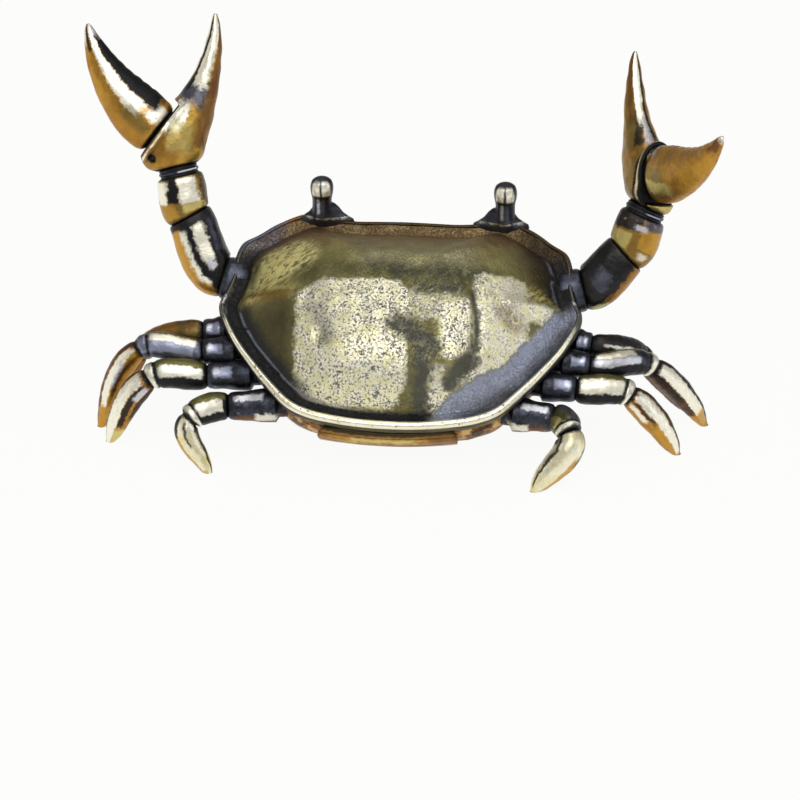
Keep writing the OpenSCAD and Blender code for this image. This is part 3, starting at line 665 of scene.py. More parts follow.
def shell_finish():
    """The dome: olive in front, bright patches behind that are painted highlights with dark specks,
    streaks of gold at the front left, painted dark reflections on the flanks and a blue-grey border at
    the rear right that is a painted reflection."""
    f = Finish("shell_patina")
    x, y, z = f.shell_place()
    cloud, fine, pits = f.noise(3.0), f.noise(0.62, 3.0, 0.6), f.noise(0.24, 2.5, 0.7)
    drift = f.noise(1.1, 3.0, 0.6)
    wander = (fine - 0.5) * 0.9 + (drift - 0.5) * 0.7

    def patch(cx, cy, half_w, half_l, corner, soft=0.35, ragged=1.0):
        """1 inside a rounded rectangle on the dome, with a ragged edge."""
        dx = (abs(x - cx) - (half_w - corner)).most(0.0)
        dy = (abs(y - cy) - (half_l - corner)).most(0.0)
        away = (dx * dx + dy * dy) ** 0.5 - corner + wander * ragged
        return away.rise(soft, -soft)

    def line(x0, y0, x1, y1, width, soft=0.3, ragged=0.6):
        """1 along a straight stretch on the dome."""
        long2 = (x1 - x0) ** 2 + (y1 - y0) ** 2
        t = (((x - x0) * (x1 - x0) + (y - y0) * (y1 - y0)) / long2).held()
        dx, dy = x - x0 - t * (x1 - x0), y - y0 - t * (y1 - y0)
        return ((dx * dx + dy * dy) ** 0.5 - width + wander * ragged).rise(soft, -soft)

    def lines(first, *rest):
        """1 along any of several stretches."""
        made = line(*first)
        for row in rest:
            made = made.most(line(*row))
        return made

    slant = f.add("ShaderNodeCombineXYZ", None, {0: (x + y) * 0.5, 1: (x - y) * 1.3, 2: z}).outputs[0]
    streak = f.noise(0.62, 3.0, 0.6, place=slant)
    beyond = (x * 0.814 - y * 0.581 - 13.1).most(x * 0.575 - y * 0.818 - 11.6) + wander * 0.5
    front = y.rise(6.8, 9.2)

    f.colour = f.mix((cloud * 0.9 + drift * 0.6 - 0.45).held(), shade(164, 156, 100), shade(100, 96, 64))
    f.paint(y.rise(5.0, 1.0) * 0.35, shade(58, 56, 44))
    # Painted light: the front of the dome, which slopes away from the lamps, painted lighter brown
    f.paint((y.rise(5.8, 9.8) * (cloud * 0.7 + 0.5)).held() * 0.9, shade(146, 116, 80))
    f.paint(line(-16.0, 8.6, -8.0, 11.8, 1.4, 1.2) * 0.7, shade(116, 78, 58))
    grey_front = patch(1.8, 5.6, 6.8, 1.7, 1.6, 1.2) * (fine * 0.7 + streak * 0.5).rise(0.3, 0.8)
    f.paint(grey_front * 0.8, shade(156, 150, 128))
    f.paint(patch(-5.5, 3.6, 5.5, 0.9, 0.8, 1.0) * 0.6, shade(64, 66, 46))
    f.paint(patch(5.0, 3.4, 6.0, 0.9, 0.8, 0.8) * 0.75, shade(58, 64, 56))
    # Painted shade: darker olive on the left side of the dome, where the dark surroundings reflect
    side_dark = (x.rise(-10.6, -12.4) * y.rise(1.6, -1.6)).held()
    f.paint(side_dark * 0.8, shade(64, 60, 40))
    f.paint(x.rise(10.5, 14.5) * y.rise(2.5, 4.5) * 0.75, shade(64, 52, 36))
    streaks = line(-16.4, 3.4, -11.6, 6.2, 1.9, 1.2) * (streak * 1.7 + fine * 0.4 - 0.62).held()
    f.paint((streaks * 2.4).held(), shade(244, 234, 160))
    f.paint(line(-17.6, 3.0, -11.6, 1.5, 0.5, 0.7) * streak.rise(0.25, 0.6) * 0.8, STRAW)
    ridge = line(-17.8, 1.7, -12.4, 0.7, 0.5, 0.6)
    f.paint(ridge * 0.75, shade(146, 112, 44))
    right_gold = line(12.4, 2.2, 17.4, 2.6, 0.8, 0.7) * streak.rise(0.35, 0.6)
    f.paint(right_gold, STRAW)
    # Painted highlights: bright patches where the dome reflects the softbox, cut off past the rear right
    # border
    left_patch = patch(-4.75, -4.5, 6.15, 6.75, 2.7, 0.25, 0.7)
    left_patch = left_patch * line(-11.8, 2.4, -10.0, 3.4, 1.7, 0.3).rise(1.0, 0.0)
    mid_patch = patch(6.4, -3.2, 1.75, 3.3, 1.3, 0.4, 1.1)
    mid_top = patch(3.6, -0.9, 3.6, 1.7, 0.9, 0.6, 1.6) * (streak * 0.5 + fine * 0.8).held()
    foot = patch(4.7, -9.5, 1.3, 1.8, 0.6, 0.5, 1.2)
    right_patch = patch(11.2, -2.0, 2.9, 5.9, 1.5, 0.3, 0.8).most(line(12.5, -0.4, 17.4, 1.0, 1.0, 0.3, 0.5))
    right_tail = line(5.0, -10.2, 13.5, -4.0, 1.4, 0.3)
    bright = left_patch.most(mid_patch.most(mid_top)).most(foot * 0.9).most(right_patch).most(right_tail)
    bright = bright * beyond.rise(0.12, -0.12).most(x.rise(3.4, 2.6))
    # Painted dark reflections: lines and bands across the highlight patches
    dusk = lines(
        (0.2, -3.2, 4.2, -5.6, 1.0, 0.7, 1.8), (3.3, -5.6, 2.8, -11.6, 0.85, 0.5, 1.5),
        (8.3, -6.4, 6.2, -8.7, 0.85, 0.35), (8.7, -4.2, 8.6, -6.4, 0.4, 0.3),
        (8.0, 1.4, 8.75, -2.1, 0.24, 0.2, 0.3), (8.75, -2.1, 8.8, -4.6, 0.28, 0.2, 0.3),
    )
    dusk = dusk.most(line(2.6, 1.5, 6.8, 1.5, 0.7, 0.6) * streak.rise(0.75, 0.45))
    # Painted shade: the two dimples darker where they cross the highlight patches
    dimple = lines((-8.7, -1.6, -7.7, -4.6, 0.8, 0.6), (11.6, -0.4, 12.9, -1.6, 0.9, 0.6))
    bright = (bright * (1 - dusk * 0.94)).held()
    tone = f.mix(drift.rise(0.35, 0.8), CREAM, shade(238, 232, 184))
    # The painted highlight patches, crossed by painted dark reflection lines
    f.paint(bright, tone)
    f.paint(dimple * bright * 0.6, f.mix(x.rise(0.0, 1.0), shade(104, 104, 98), shade(126, 104, 66)))
    f.paint(dusk * patch(4.0, -4.5, 7.0, 8.0, 2.0) * 0.85, shade(82, 84, 80))
    # Painted reflection: blue-grey cool light along the border at the rear right
    border = beyond.rise(-0.05, 0.3) * x.rise(3.2, 4.6) * y.rise(4.0, 2.0) * z.rise(-0.35, -0.05)
    f.paint(border * (0.75 + fine * 0.25), f.mix(beyond.rise(1.3, 2.5), LILAC, SLATE))
    # Painted shade: dark reflections low on the left flank, on the right side and at the front left
    flank = z.rise(1.7, 0.9) * x.rise(-8.0, -10.5) * y.rise(2.0, 0.0)
    f.paint(flank * 0.85, shade(46, 46, 50))
    dark_side = z.rise(1.7, 0.8) * x.rise(13.5, 15.5) * y.rise(1.6, 3.0)
    f.paint(dark_side * 0.9, SOOT)
    dark_front = z.rise(1.4, 0.7) * x.rise(-13.0, -15.0) * y.rise(2.0, 4.0) * y.rise(9.0, 7.0)
    f.paint(dark_front * 0.7, SHADOW)
    rear = y.rise(-8.6, -9.8)
    f.paint(z.rise(0.45, 0.12) * (1 - front) * (0.92 - border * 0.75 - rear * 0.45).held(), SOOT)
    f.paint(x.rise(12.6, 15.0) * y.rise(4.0, 7.0) * 0.7, shade(62, 50, 36))
    # Painted shade: the flat band along the front edge is toned olive-brown to hide the light falling on it
    left_band = f.mix(x.rise(-12.6, -14.4), shade(112, 96, 66), SLATE)
    band = f.mix(x.rise(11.0, 14.0), left_band, shade(70, 56, 40))
    f.paint(z.rise(0.6, 0.2) * front * 0.75, f.mix(cloud.rise(0.3, 0.9) * 0.6, band, shade(82, 70, 48)))
    # Painted highlight: a thin blue-grey line along the dome's foot on the left and on the right
    foot_line = z.within(0.2, 0.42, 0.16) * x.rise(-7.0, -10.0) * y.rise(1.5, 0.5) * drift.rise(0.2, 0.4)
    right_foot = z.within(0.3, 0.6, 0.2) * x.rise(15.0, 16.0)
    right_foot = right_foot * y.within(2.0, 9.0, 1.0) * drift.rise(0.35, 0.55)
    f.paint(foot_line.most(right_foot) * 0.8, shade(140, 146, 166))
    wear = f.read("wear") + (fine - 0.5) * 0.4
    f.paint(wear.rise(-0.2, -0.7) * (1 - front * 0.97) * (1 - border * 0.75), SOOT)
    dots = (f.noise(0.25, 3.0, 0.7) * 0.75 + drift * 0.25).rise(0.5, 0.3)
    amount = (bright * 0.72 + 0.2).held() * (1 - z.rise(0.6, 0.2) * 0.8) * (1 - x.rise(8.8, 9.6) * 0.5)
    f.paint(dots * amount, shade(84, 80, 62))
    specks = (f.noise(0.4, 2.0, 0.6) * 0.85 + cloud * 0.15).rise(0.25, 0.17)
    f.paint(specks * bright * 0.6, SOOT)
    rough = (0.36 + dots * 0.16 - bright * 0.02 + (cloud - 0.5) * 0.14).most(0.15)
    relief = fine * 0.45 + pits * 0.35 - dots * 0.5
    return f.surface(rough, 0.85, relief, 0.07)


# Under the shell


def underbody_finish():
    """Dark wall and belly, brown and gold where the casting shows below the rim at the rear, partly its
    own colour and partly a painted golden reflection, with spots of painted sheen on it.
    """
    f = Finish("underbody_patina")
    _, y, z = f.shell_place()
    cloud, fine = f.noise(1.5), f.noise(0.45, 3.0, 0.6)
    f.colour = f.mix((cloud * 0.8 + fine * 0.5 - 0.3).held(), SOOT, SLATE)
    # Brown and gold low at the rear with pale spots of painted sheen, partly painted golden reflection
    tone_and_sheen = (y + (cloud - 0.5) * 2.0).rise(-6.5, -8.5) * z.rise(-1.7, -2.4)
    f.paint(tone_and_sheen * 0.95, f.mix(fine.rise(0.3, 0.7), BROWN, OCHRE))
    f.paint(tone_and_sheen * cloud.rise(0.5, 0.7), shade(208, 170, 110))
    f.paint(tone_and_sheen * cloud.rise(0.4, 0.3), UMBER)
    wear = f.read("wear") + (fine - 0.5) * 0.5
    f.paint(wear.rise(-0.5, -0.95), SOOT)
    return f.surface(0.36 + cloud * 0.1, 0.88, fine, 0.05)


def make_underbody(material):
    walls = (
        (1.9, 1.3), (0.9, 1.9), (0.55, 2.95), (0.6, 3.9), (0.8, 4.6), (1.5, 5.6), (2.9, 6.75), (4.2, 7.5),
        (5.5, 7.9),
    )
    depth = eased([-z for _, z in walls[::-1]], [d for d, _ in walls[::-1]])
    rings, wear = [], []
    for z in np.linspace(-7.9, -1.3, 30):
        r = edge_ring(float(depth(z)), z)
        flute = 0.5 + 0.5 * np.cos(r[:, 1] * 2 * math.pi / 3.0 + 0.6)
        side = smooth_step(np.abs(r[:, 0]), 9, 13) * smooth_step(z, -7.6, -6.0) * smooth_step(z, -1.6, -2.6)
        r[:, 0] *= 1 - 0.028 * flute * side
        rings.append(r)
        wear.append(-0.35 if z < -2 else -0.9)
    low = rings[0]
    belly = []
    for f in np.linspace(0.06, 0.97, 26):
        b = low * (f, f, 1)
        b[:, 1] += (1 - f) * low[:, 1].mean()
        groove = 0.12 * np.exp(-(((b[:, 1] + 40.0) % 3.0 - 1.5) / 0.3) ** 2)
        groove *= smooth_step(np.abs(b[:, 0]), 3.0, 4.0)
        b[:, 2] += groove * smooth_step(f, 1.0, 0.9)
        belly.append(b)
        wear.insert(0, -0.3)
    cast = lofted([from_shell(r) for r in belly + rings], wear)
    cast.points += hand_finish(cast.points, 0.05)[:, None] * (0, 0, 1)
    piece("underbody_wall", cast, material, ["underbody"], "dark_brass")


TAIL_PATH = (
    (-0.5 * SHELL_L + OVERHANG - 0.1, -EDGE_T - 0.1),
    (-0.5 * SHELL_L + OVERHANG - 0.4, -EDGE_T - 0.2 * UNDER_H),
    (-0.5 * SHELL_L + OVERHANG + 0.3, -EDGE_T - 0.48 * UNDER_H),
    (-0.5 * SHELL_L + OVERHANG + 3, -EDGE_T - 0.88 * UNDER_H), (-0.25 * SHELL_L, -UNDER_H - EDGE_T - 0.25),
    (-0.1 * SHELL_L, -UNDER_H - EDGE_T - 0.25), (0.06 * SHELL_L, -UNDER_H - EDGE_T - 0.2),
)
TAIL_SHARE = (0.92, 1, 0.98, 0.8, 0.6, 0.42, 0.14)


def tail_station(t):
    """Where the tail plate runs in the shell's frame: its place, the way out of its face and
    its half width."""
    s = np.arange(len(TAIL_PATH)) / (len(TAIL_PATH) - 1)
    path = np.array(TAIL_PATH)
    y, z, share = eased(s, path[:, 0]), eased(s, path[:, 1]), eased(s, TAIL_SHARE)
    step = 0.01
    dy, dz = y(t + step) - y(t - step), z(t + step) - z(t - step)
    out = np.array((dz, -dy)) / math.hypot(dy, dz)
    return float(y(t)), float(z(t)), out, TAIL_W / 2 * float(share(t))


def make_tail(material):
    rings, wear, wrap = [], [], []
    across = np.concatenate((np.linspace(-1, 1, 25), np.linspace(0.94, -0.94, 17)))
    for t in np.linspace(0, 1, 72):
        y, z, out, half = tail_station(t)
        segment = abs(math.sin(math.pi * (t * 7 + 0.35)))
        dip = 0.16 * math.exp(-((segment / 0.22) ** 2))
        r = []
        for i, a in enumerate(across):
            top = i < 25
            lift = TAIL_T * (0.42 * (1 - 0.75 * a * a) - dip if top else -0.9)
            bow = 0.32 * a * a * float(smooth_step(t, 0.5, 0.2))
            r.append((TAIL_X + half * a, y + out[0] * lift + bow, z + out[1] * lift + bow * 0.7))
            wrap.append((sind(90 * a), cosd(90 * a) if top else -cosd(90 * a), t))
        rings.append(from_shell(np.array(r)))
        wear.append(-0.9 * math.exp(-((segment / 0.2) ** 2)))
    wrap = np.array([*wrap, (0, 1, 0), (0, 1, 1)])
    piece("tail_segments", lofted(rings, wear), material, ["tail_plate"], "tail_brass", wrap)


# Eyes, arms and claws


def on_side(v, s):
    return np.array((v[0] * s, v[1], v[2]), float)


def lean_dir(lean, forward):
    return unit((sind(lean), sind(forward) * cosd(lean), cosd(lean) * cosd(forward)))


def eye_foot(s):
    return from_shell((s * EYE_X[0 if s < 0 else 1], 0.478 * SHELL_L, 0.1))


def make_eye(s, material):
    h, r = EYE_H, EYE_D / 2
    stalk = turned((
        (r * 0.75, -0.7, -1), (r * 0.9, 0.1, -0.8), (r * 0.9, 0.6, -0.5), (r * 0.83, 0.28 * h, 0),
        (r * 0.82, 0.42 * h, 0), (r * 0.85, 0.52 * h, -0.2), (r * 0.92, 0.6 * h, -0.3),
        (r * 0.97, 0.68 * h, 0), (r * 0.99, 0.76 * h, 0), (r * 0.96, 0.84 * h, 0), (r * 0.85, 0.92 * h, 0),
        (r * 0.6, 0.975 * h, 0), (r * 0.3, 0.996 * h, 0), (r * 0.05, h, 0),
    ))
    lip = (
        (-0.9, 0.9, 0.6), (-0.3, 0.98, 0.7), (0.1, 0.94, 0.74), (0.35, 0.8, 0.72), (0.8, 0.6, 0.7),
        (1.5, 0.44, 0.6), (1.9, 0.3, 0.5),
    )
    q = np.arange(40) * 2 * math.pi / 40
    point = 1 + 0.16 * np.abs(np.cos(q)) ** 5
    rings = []
    for z, wide, deep in lip:
        x, y = np.cos(q) * point * LIP_W / 2 * wide, np.sin(q) * EYE_D * 0.46 * deep
        rings.append(np.stack((-s * 0.45 + x, y, np.full(40, z - 0.1)), -1))
    cast = melted("eye", stalk, added=[lofted(rings)], voxel=0.1, smooth=2)
    height = cast.points[:, 2] / h
    levels = (-0.2, 0.0, 0.07, 0.14, 0.5, 0.6, 0.7, 1.0)
    cast.wear = np.interp(height, levels, (-0.8, 0.1, 0.5, -0.4, -0.2, -0.2, 0.0, 0.0))
    q = cast.points[:, :2] / np.maximum(np.hypot(*cast.points[:, :2].T), 1e-6)[:, None]
    wrap = np.stack((-q[:, 0], -q[:, 1], height), -1)
    cast.points = cast.points + eye_foot(s)
    piece("eye_stalk_" + SIDE_NAME[s], cast, material, ["eye_" + SIDE_NAME[s]], "eye_brass", wrap)


class Arm:
    """The seams and directions of one arm."""

    def __init__(self, s):
        self.s = s
        i = 0 if s < 0 else 1
        self.shoulder_dir = on_side(unit((0.93, 0.1, 0.2)), s)
        self.seam = np.array((s * SHOULDER_X, SHELL_AT[1] + 0.23 * SHELL_L, SHELL_Z + SHOULDER_UP))
        self.upper_dir = on_side(lean_dir(ARM_LEAN[s][0], ARM_FORWARD), s)
        self.elbow = self.seam + self.upper_dir * UPPER_ARM_L[i]
        self.forearm_dir = on_side(lean_dir(ARM_LEAN[s][1], ARM_FORWARD), s)
        self.forearm_end = self.elbow + self.forearm_dir * FOREARM_L
        self.claw_seat = on_side(lean_dir(CLAW_SEAT_LEAN[s], CLAW_FORWARD), s)
        self.wrist_dir = unit(self.forearm_dir + self.claw_seat)
        self.claw_base = self.forearm_end + self.wrist_dir * WRIST_L
        lift, twist = math.radians(90 - CLAW_FORWARD), math.radians(-CLAW_TWIST[s] * s)
        c, d = math.cos(lift), math.sin(lift)
        about_x = np.array(((1, 0, 0), (0, c, -d), (0, d, c)))
        c, d = math.cos(twist), math.sin(twist)
        about_y = np.array(((c, 0, d), (0, 1, 0), (-d, 0, c)))
        self.claw_turn = about_x @ about_y @ np.diag((s, 1, 1)).astype(float)
        t = FINGER_TURN[s]
        self.finger_dir = np.array((cosd(t), sind(t), 0))
        self.finger_end_dir = np.array((cosd(t + FINGER_BEND[s]), sind(t + FINGER_BEND[s]), 0))

    def from_claw(self, p):
        return self.claw_base + np.asarray(p, float) @ self.claw_turn.T

    def out_of_claw(self, cast):
        """The cast moved from the claw's frame to the ground's. The left one is mirrored, so its
        faces turn round."""
        faces = [f[::-1] for f in cast.faces] if self.s < 0 else cast.faces
        return Cast(self.from_claw(cast.points), faces, cast.wear)

    def run_from_claw(self, run):
        made = Run(*run.points[[0, 3]], (0, 1, 0), (0, 1, 0))
        made.points = self.from_claw(run.points)
        return made


FINGER_ROOT = np.array((2.1, 3.9, 0))


def make_arm(arm, finishes):
    name = SIDE_NAME[arm.s]
    r = SHOULDER_D / 2
    run = Run(arm.seam - arm.shoulder_dir * 3.4, arm.seam, arm.shoulder_dir, arm.shoulder_dir)
    cast = limb(run, sized(r, (
        (0, 0.7, 0.7, -1), (0.2, 1.0, 1.05, -0.4), (0.5, 1.13, 1.14, 0), (0.8, 1.13, 1.13, 0.1),
        (0.93, 1.1, 1.08, -0.3), (1, 1.02, 1.0, -1),
    )), e=0.8)
    limb_piece("shoulder", "block", name, cast, finishes, "dark_brass", run)
    r = UPPER_ARM_D / 2
    run = Run(arm.seam, arm.elbow, arm.shoulder_dir, arm.upper_dir)
    cast = limb(run, sized(r, (
        (0, 0.8, 0.78, -1), (0.025, 0.86, 0.84, -0.5), (0.1, 0.94, 0.91, 0), (0.35, 1, 0.96, 0),
        (0.62, 0.99, 0.92, 0), (0.86, 0.96, 0.89, 0), (0.95, 0.94, 0.86, 0.1), (0.985, 0.9, 0.83, -0.4),
        (1, 0.82, 0.75, -1),
    )), e=0.84)
    limb_piece("upper_arm", "cast", name, cast, finishes, "arm_brass", run)
    r = FOREARM_D / 2
    run = Run(arm.elbow, arm.forearm_end, arm.upper_dir, arm.wrist_dir)
    cast = limb(run, sized(r, (
        (0, 0.8, 0.75, -1), (0.03, 0.87, 0.8, -0.6), (0.1, 0.94, 0.87, 0), (0.4, 1, 0.92, 0),
        (0.72, 0.985, 0.89, 0), (0.9, 0.95, 0.86, 0.2), (0.965, 0.9, 0.82, -0.3), (1, 0.8, 0.74, -1),
    )), e=0.8)
    limb_piece("forearm", "cast", name, cast, finishes, "arm_brass", run)
    r = WRIST_D / 2
    start, end = arm.forearm_end - arm.wrist_dir * 0.1, arm.claw_base + arm.claw_seat * 0.1
    run = Run(start, end, arm.wrist_dir, arm.claw_seat)
    cast = limb(run, sized(r, (
        (0, 0.9, 0.84, -1), (0.12, 0.97, 0.9, -1), (0.3, 0.95, 0.88, -0.7), (0.42, 1.01, 0.94, 0),
        (0.58, 1.02, 0.95, 0), (0.7, 0.96, 0.88, -0.8), (0.86, 0.98, 0.9, -0.8), (1, 0.9, 0.82, -1),
    )), steps=30, uneven=0.02)
    limb_piece("wrist", "ring", name, cast, finishes, "dark_brass", run)
    make_palm(arm, finishes["palm"])
    make_finger(arm, finishes["finger"])


def seat_lip(arm, back, swell, thick):
    """An oval rope laid round the finger's root, a little behind its seat."""
    d = arm.finger_dir
    p, z = np.array((-d[1], d[0], 0)), UP
    points, n, m = [], 64, 12
    for a in np.arange(n) * 2 * math.pi / n:
        out = unit(p * math.cos(a) * 1.2 + z * math.sin(a))
        wide, thick_way = p * math.cos(a) * (FINGER_W / 2 + swell), z * math.sin(a) * (FINGER_T / 2 + swell)
        middle = FINGER_ROOT - d * back + wide + thick_way
        for b in np.arange(m) * 2 * math.pi / m:
            points.append(middle + thick * (out * math.cos(b) + d * math.sin(b)))
    faces = []
    for i in range(n):
        for j in range(m):
            k, l = (i + 1) % n, (j + 1) % m
            faces.append((i * m + j, k * m + j, k * m + l, i * m + l))
    return Cast(points, faces)


def ball(centre, radius, n=20):
    (x, y, z), q = centre, np.arange(n) * 2 * math.pi / n
    rings = []
    for a in np.linspace(0.08, math.pi - 0.08, 14):
        r, level = radius * math.sin(a), np.full(n, z - radius * math.cos(a))
        rings.append(np.stack((x + r * np.cos(q), y + r * np.sin(q), level), -1))
    return lofted(rings)


def make_palm(arm, material):
    w, t, l, f = PALM_W / 2, PALM_T / 2, PALM_L, FIXED_FINGER_L
    rows = np.array((
        (0.1, 0, 0, w * 0.67, t * 0.66, 0.9), (0.48, l * 0.06, 0, w * 0.92, t * 0.83, 0.9),
        (0.6, l * 0.25, 0.05, w * 1.08, t, 0.9), (0.1, l * 0.5, -0.05, w * 1.02, t, 0.9),
        (-0.95, l * 0.78, -0.15, w * 0.86, t * 0.92, 0.95), (-1.85, l * 1.02, -0.2, w * 0.66, t * 0.78, 1),
        (-2.7, l + f * 0.22, -0.2, w * 0.5, t * 0.64, 1.1),
        (-3.3, l + f * 0.45, -0.15, w * 0.38, t * 0.52, 1.15),
        (-3.65, l + f * 0.68, -0.08, w * 0.27, t * 0.38, 1.15),
        (-3.8, l + f * 0.88, 0, w * 0.16, t * 0.24, 1.1), (-3.75, l + f, 0.05, w * 0.06, t * 0.08, 1),
    ))
    order = np.arange(len(rows))
    at = [eased(order, rows[:, i]) for i in range(6)]
    rings = []
    seat, twist = math.tan(math.radians(CLAW_SEAT_LEAN[arm.s])), CLAW_TWIST[arm.s]
    for u in np.linspace(0, len(rows) - 1, 84):
        cx, cy, lean, a, b, e = (float(c(u)) for c in at)
        tilt = seat * float(np.interp(u, (0, 1, 2, 2.6), (1, 0.75, 0.15, 0)))
        out = unit((lean + tilt * cosd(twist), 1, -tilt * sind(twist)))
        middle = np.array((cx, cy, 0))
        r = ring(middle, out, UP, a, b, 56, e)
        rings.append(swollen(r, middle, hand_finish(r, 0.05, arm.s) * min(1, a)))
    d, root = arm.finger_dir, FINGER_ROOT
    p = np.array((-d[1], d[0], 0))
    block = []
    for x, grow in ((0.0, -0.25), (0.14, 0.0), (FINGER_W * 2, 0.6)):
        middle = root + d * x + p * FINGER_W * 0.035
        block.append(ring(middle, d, UP, FINGER_W * 0.575 + grow * 0.2, PALM_T, 40, 0.35))
    hollow = (0.4 * PALM_W, 0.13 * PALM_L, PALM_T * 0.39)
    furrow = [seat_lip(arm, 0.95, 0.32, 0.2)] if arm.s == RIGHT else []
    added, cut = [seat_lip(arm, 0.34, 0.0, 0.34)], [lofted(block), ball(hollow, 0.45), *furrow]
    cast = melted("palm", lofted(rings), added, cut, voxel=0.11, smooth=3)
    behind = (cast.points - root) @ -d
    near_lip = np.abs((cast.points - root) @ p) < FINGER_W / 2 + 0.6
    lip = np.exp(-(((behind - 0.46) / 0.17) ** 2)) * near_lip
    groove = np.exp(-(((behind - 0.95) / 0.24) ** 2)) * (1.0 if arm.s == RIGHT else 0.4)
    shadow = (groove + smooth_step(behind, 0.3, 0.12) * (behind > -0.7)) * near_lip
    lean = seat * (cosd(twist) * cast.points[:, 0] - sind(twist) * cast.points[:, 2])
    foot = smooth_step(cast.points[:, 1] + lean, 0.5, 0.1)
    hole = np.exp(-((np.linalg.norm(cast.points - hollow, axis=1) / 0.55) ** 2))
    cast.wear = np.clip(lip * 0.8 - shadow - foot - hole * 1.3, -1, 1)
    run = arm.run_from_claw(Run((0.2, 0, 0), (-3.75, l + f, 0), unit((0.12, 1, 0)), unit((0.1, 1, 0))))
    cast = arm.out_of_claw(cast)
    name = SIDE_NAME[arm.s]
    piece("claw_palm_" + name, cast, material, ["palm_" + name], "claw_brass", run.wrap(cast.points))


def make_finger(arm, material):
    d, e = arm.finger_dir, arm.finger_end_dir
    w, t = FINGER_W / 2, FINGER_T / 2
    end = FINGER_ROOT + unit(d * 1.2 + e) * FINGER_L
    run = Run(FINGER_ROOT, end, d, e)

    def biting_edge(turn, t_share):
        """Small blunt teeth on the inner side and a faint keel on the face."""
        inner = np.exp(-(((turn + 180) % 360 - 180) / 16) ** 2)
        return 0.05 * inner * abs(math.sin(t_share * 34)) * smooth_step(t_share, 0.15, 0.3) * (1 - t_share)

    cast = limb(run, (
        (0, w * 0.62, t * 0.6, -1), (0.012, w * 0.8, t * 0.78, -0.9), (0.035, w * 0.92, t * 0.93, -0.3),
        (0.075, w * 0.99, t * 0.99, 0.1), (0.18, w, t, 0), (0.36, w * 0.88, t * 0.9, 0),
        (0.55, w * 0.68, t * 0.74, 0), (0.74, w * 0.46, t * 0.52, 0), (0.9, w * 0.25, t * 0.3, 0),
        (0.97, w * 0.14, t * 0.17, 0), (1, w * 0.05, t * 0.06, 0),
    ), e=1.04, steps=96, n=64, up=UP, uneven=0.025, ridge=biting_edge)
    cast = arm.out_of_claw(cast)
    name = SIDE_NAME[arm.s]
    wrap = arm.run_from_claw(run).wrap(cast.points)
    piece("claw_finger_" + name, cast, material, ["finger_" + name], "claw_brass", wrap)


# Legs


def half_width(y):
    half = np.array(HALF_OUTLINE[8:])
    return SHELL_W / 2 * float(np.interp(-y / SHELL_L, -half[:, 1], half[:, 0]))


class Leg:
    """The seams and directions of one leg, from its hip in the body to its tip on the ground."""

    def __init__(self, s, k):
        self.s, self.k, self.name = s, k, f"{SIDE_NAME[s]}_{k + 1}"
        y = HIP_SHARE[k] * SHELL_L
        self.out = HIP_OUT[s][k]
        self.hip = from_shell((s * (half_width(y) + self.out), y, -HIP_DROP[k]))
        self.root = from_shell((s * (half_width(y) - 3.2), y + 0.5, -HIP_DROP[k]))
        self.hip_dir = unit(self.hip - self.root)
        self.tip = np.array((s * TIP_X[s][k], TIP_Y[s][k], 0.0))
        knee_y = self.hip[1] + (self.tip[1] - self.hip[1]) * 0.56
        self.knee = np.array((s * KNEE_X[s][k], knee_y, KNEE_Z[s][k]))
        self.knee_dir = unit(unit(self.knee - self.hip) + (0, 0, -0.7))
        self.tip_dir = unit(unit(self.tip - self.knee) + (0, 0, -0.5))


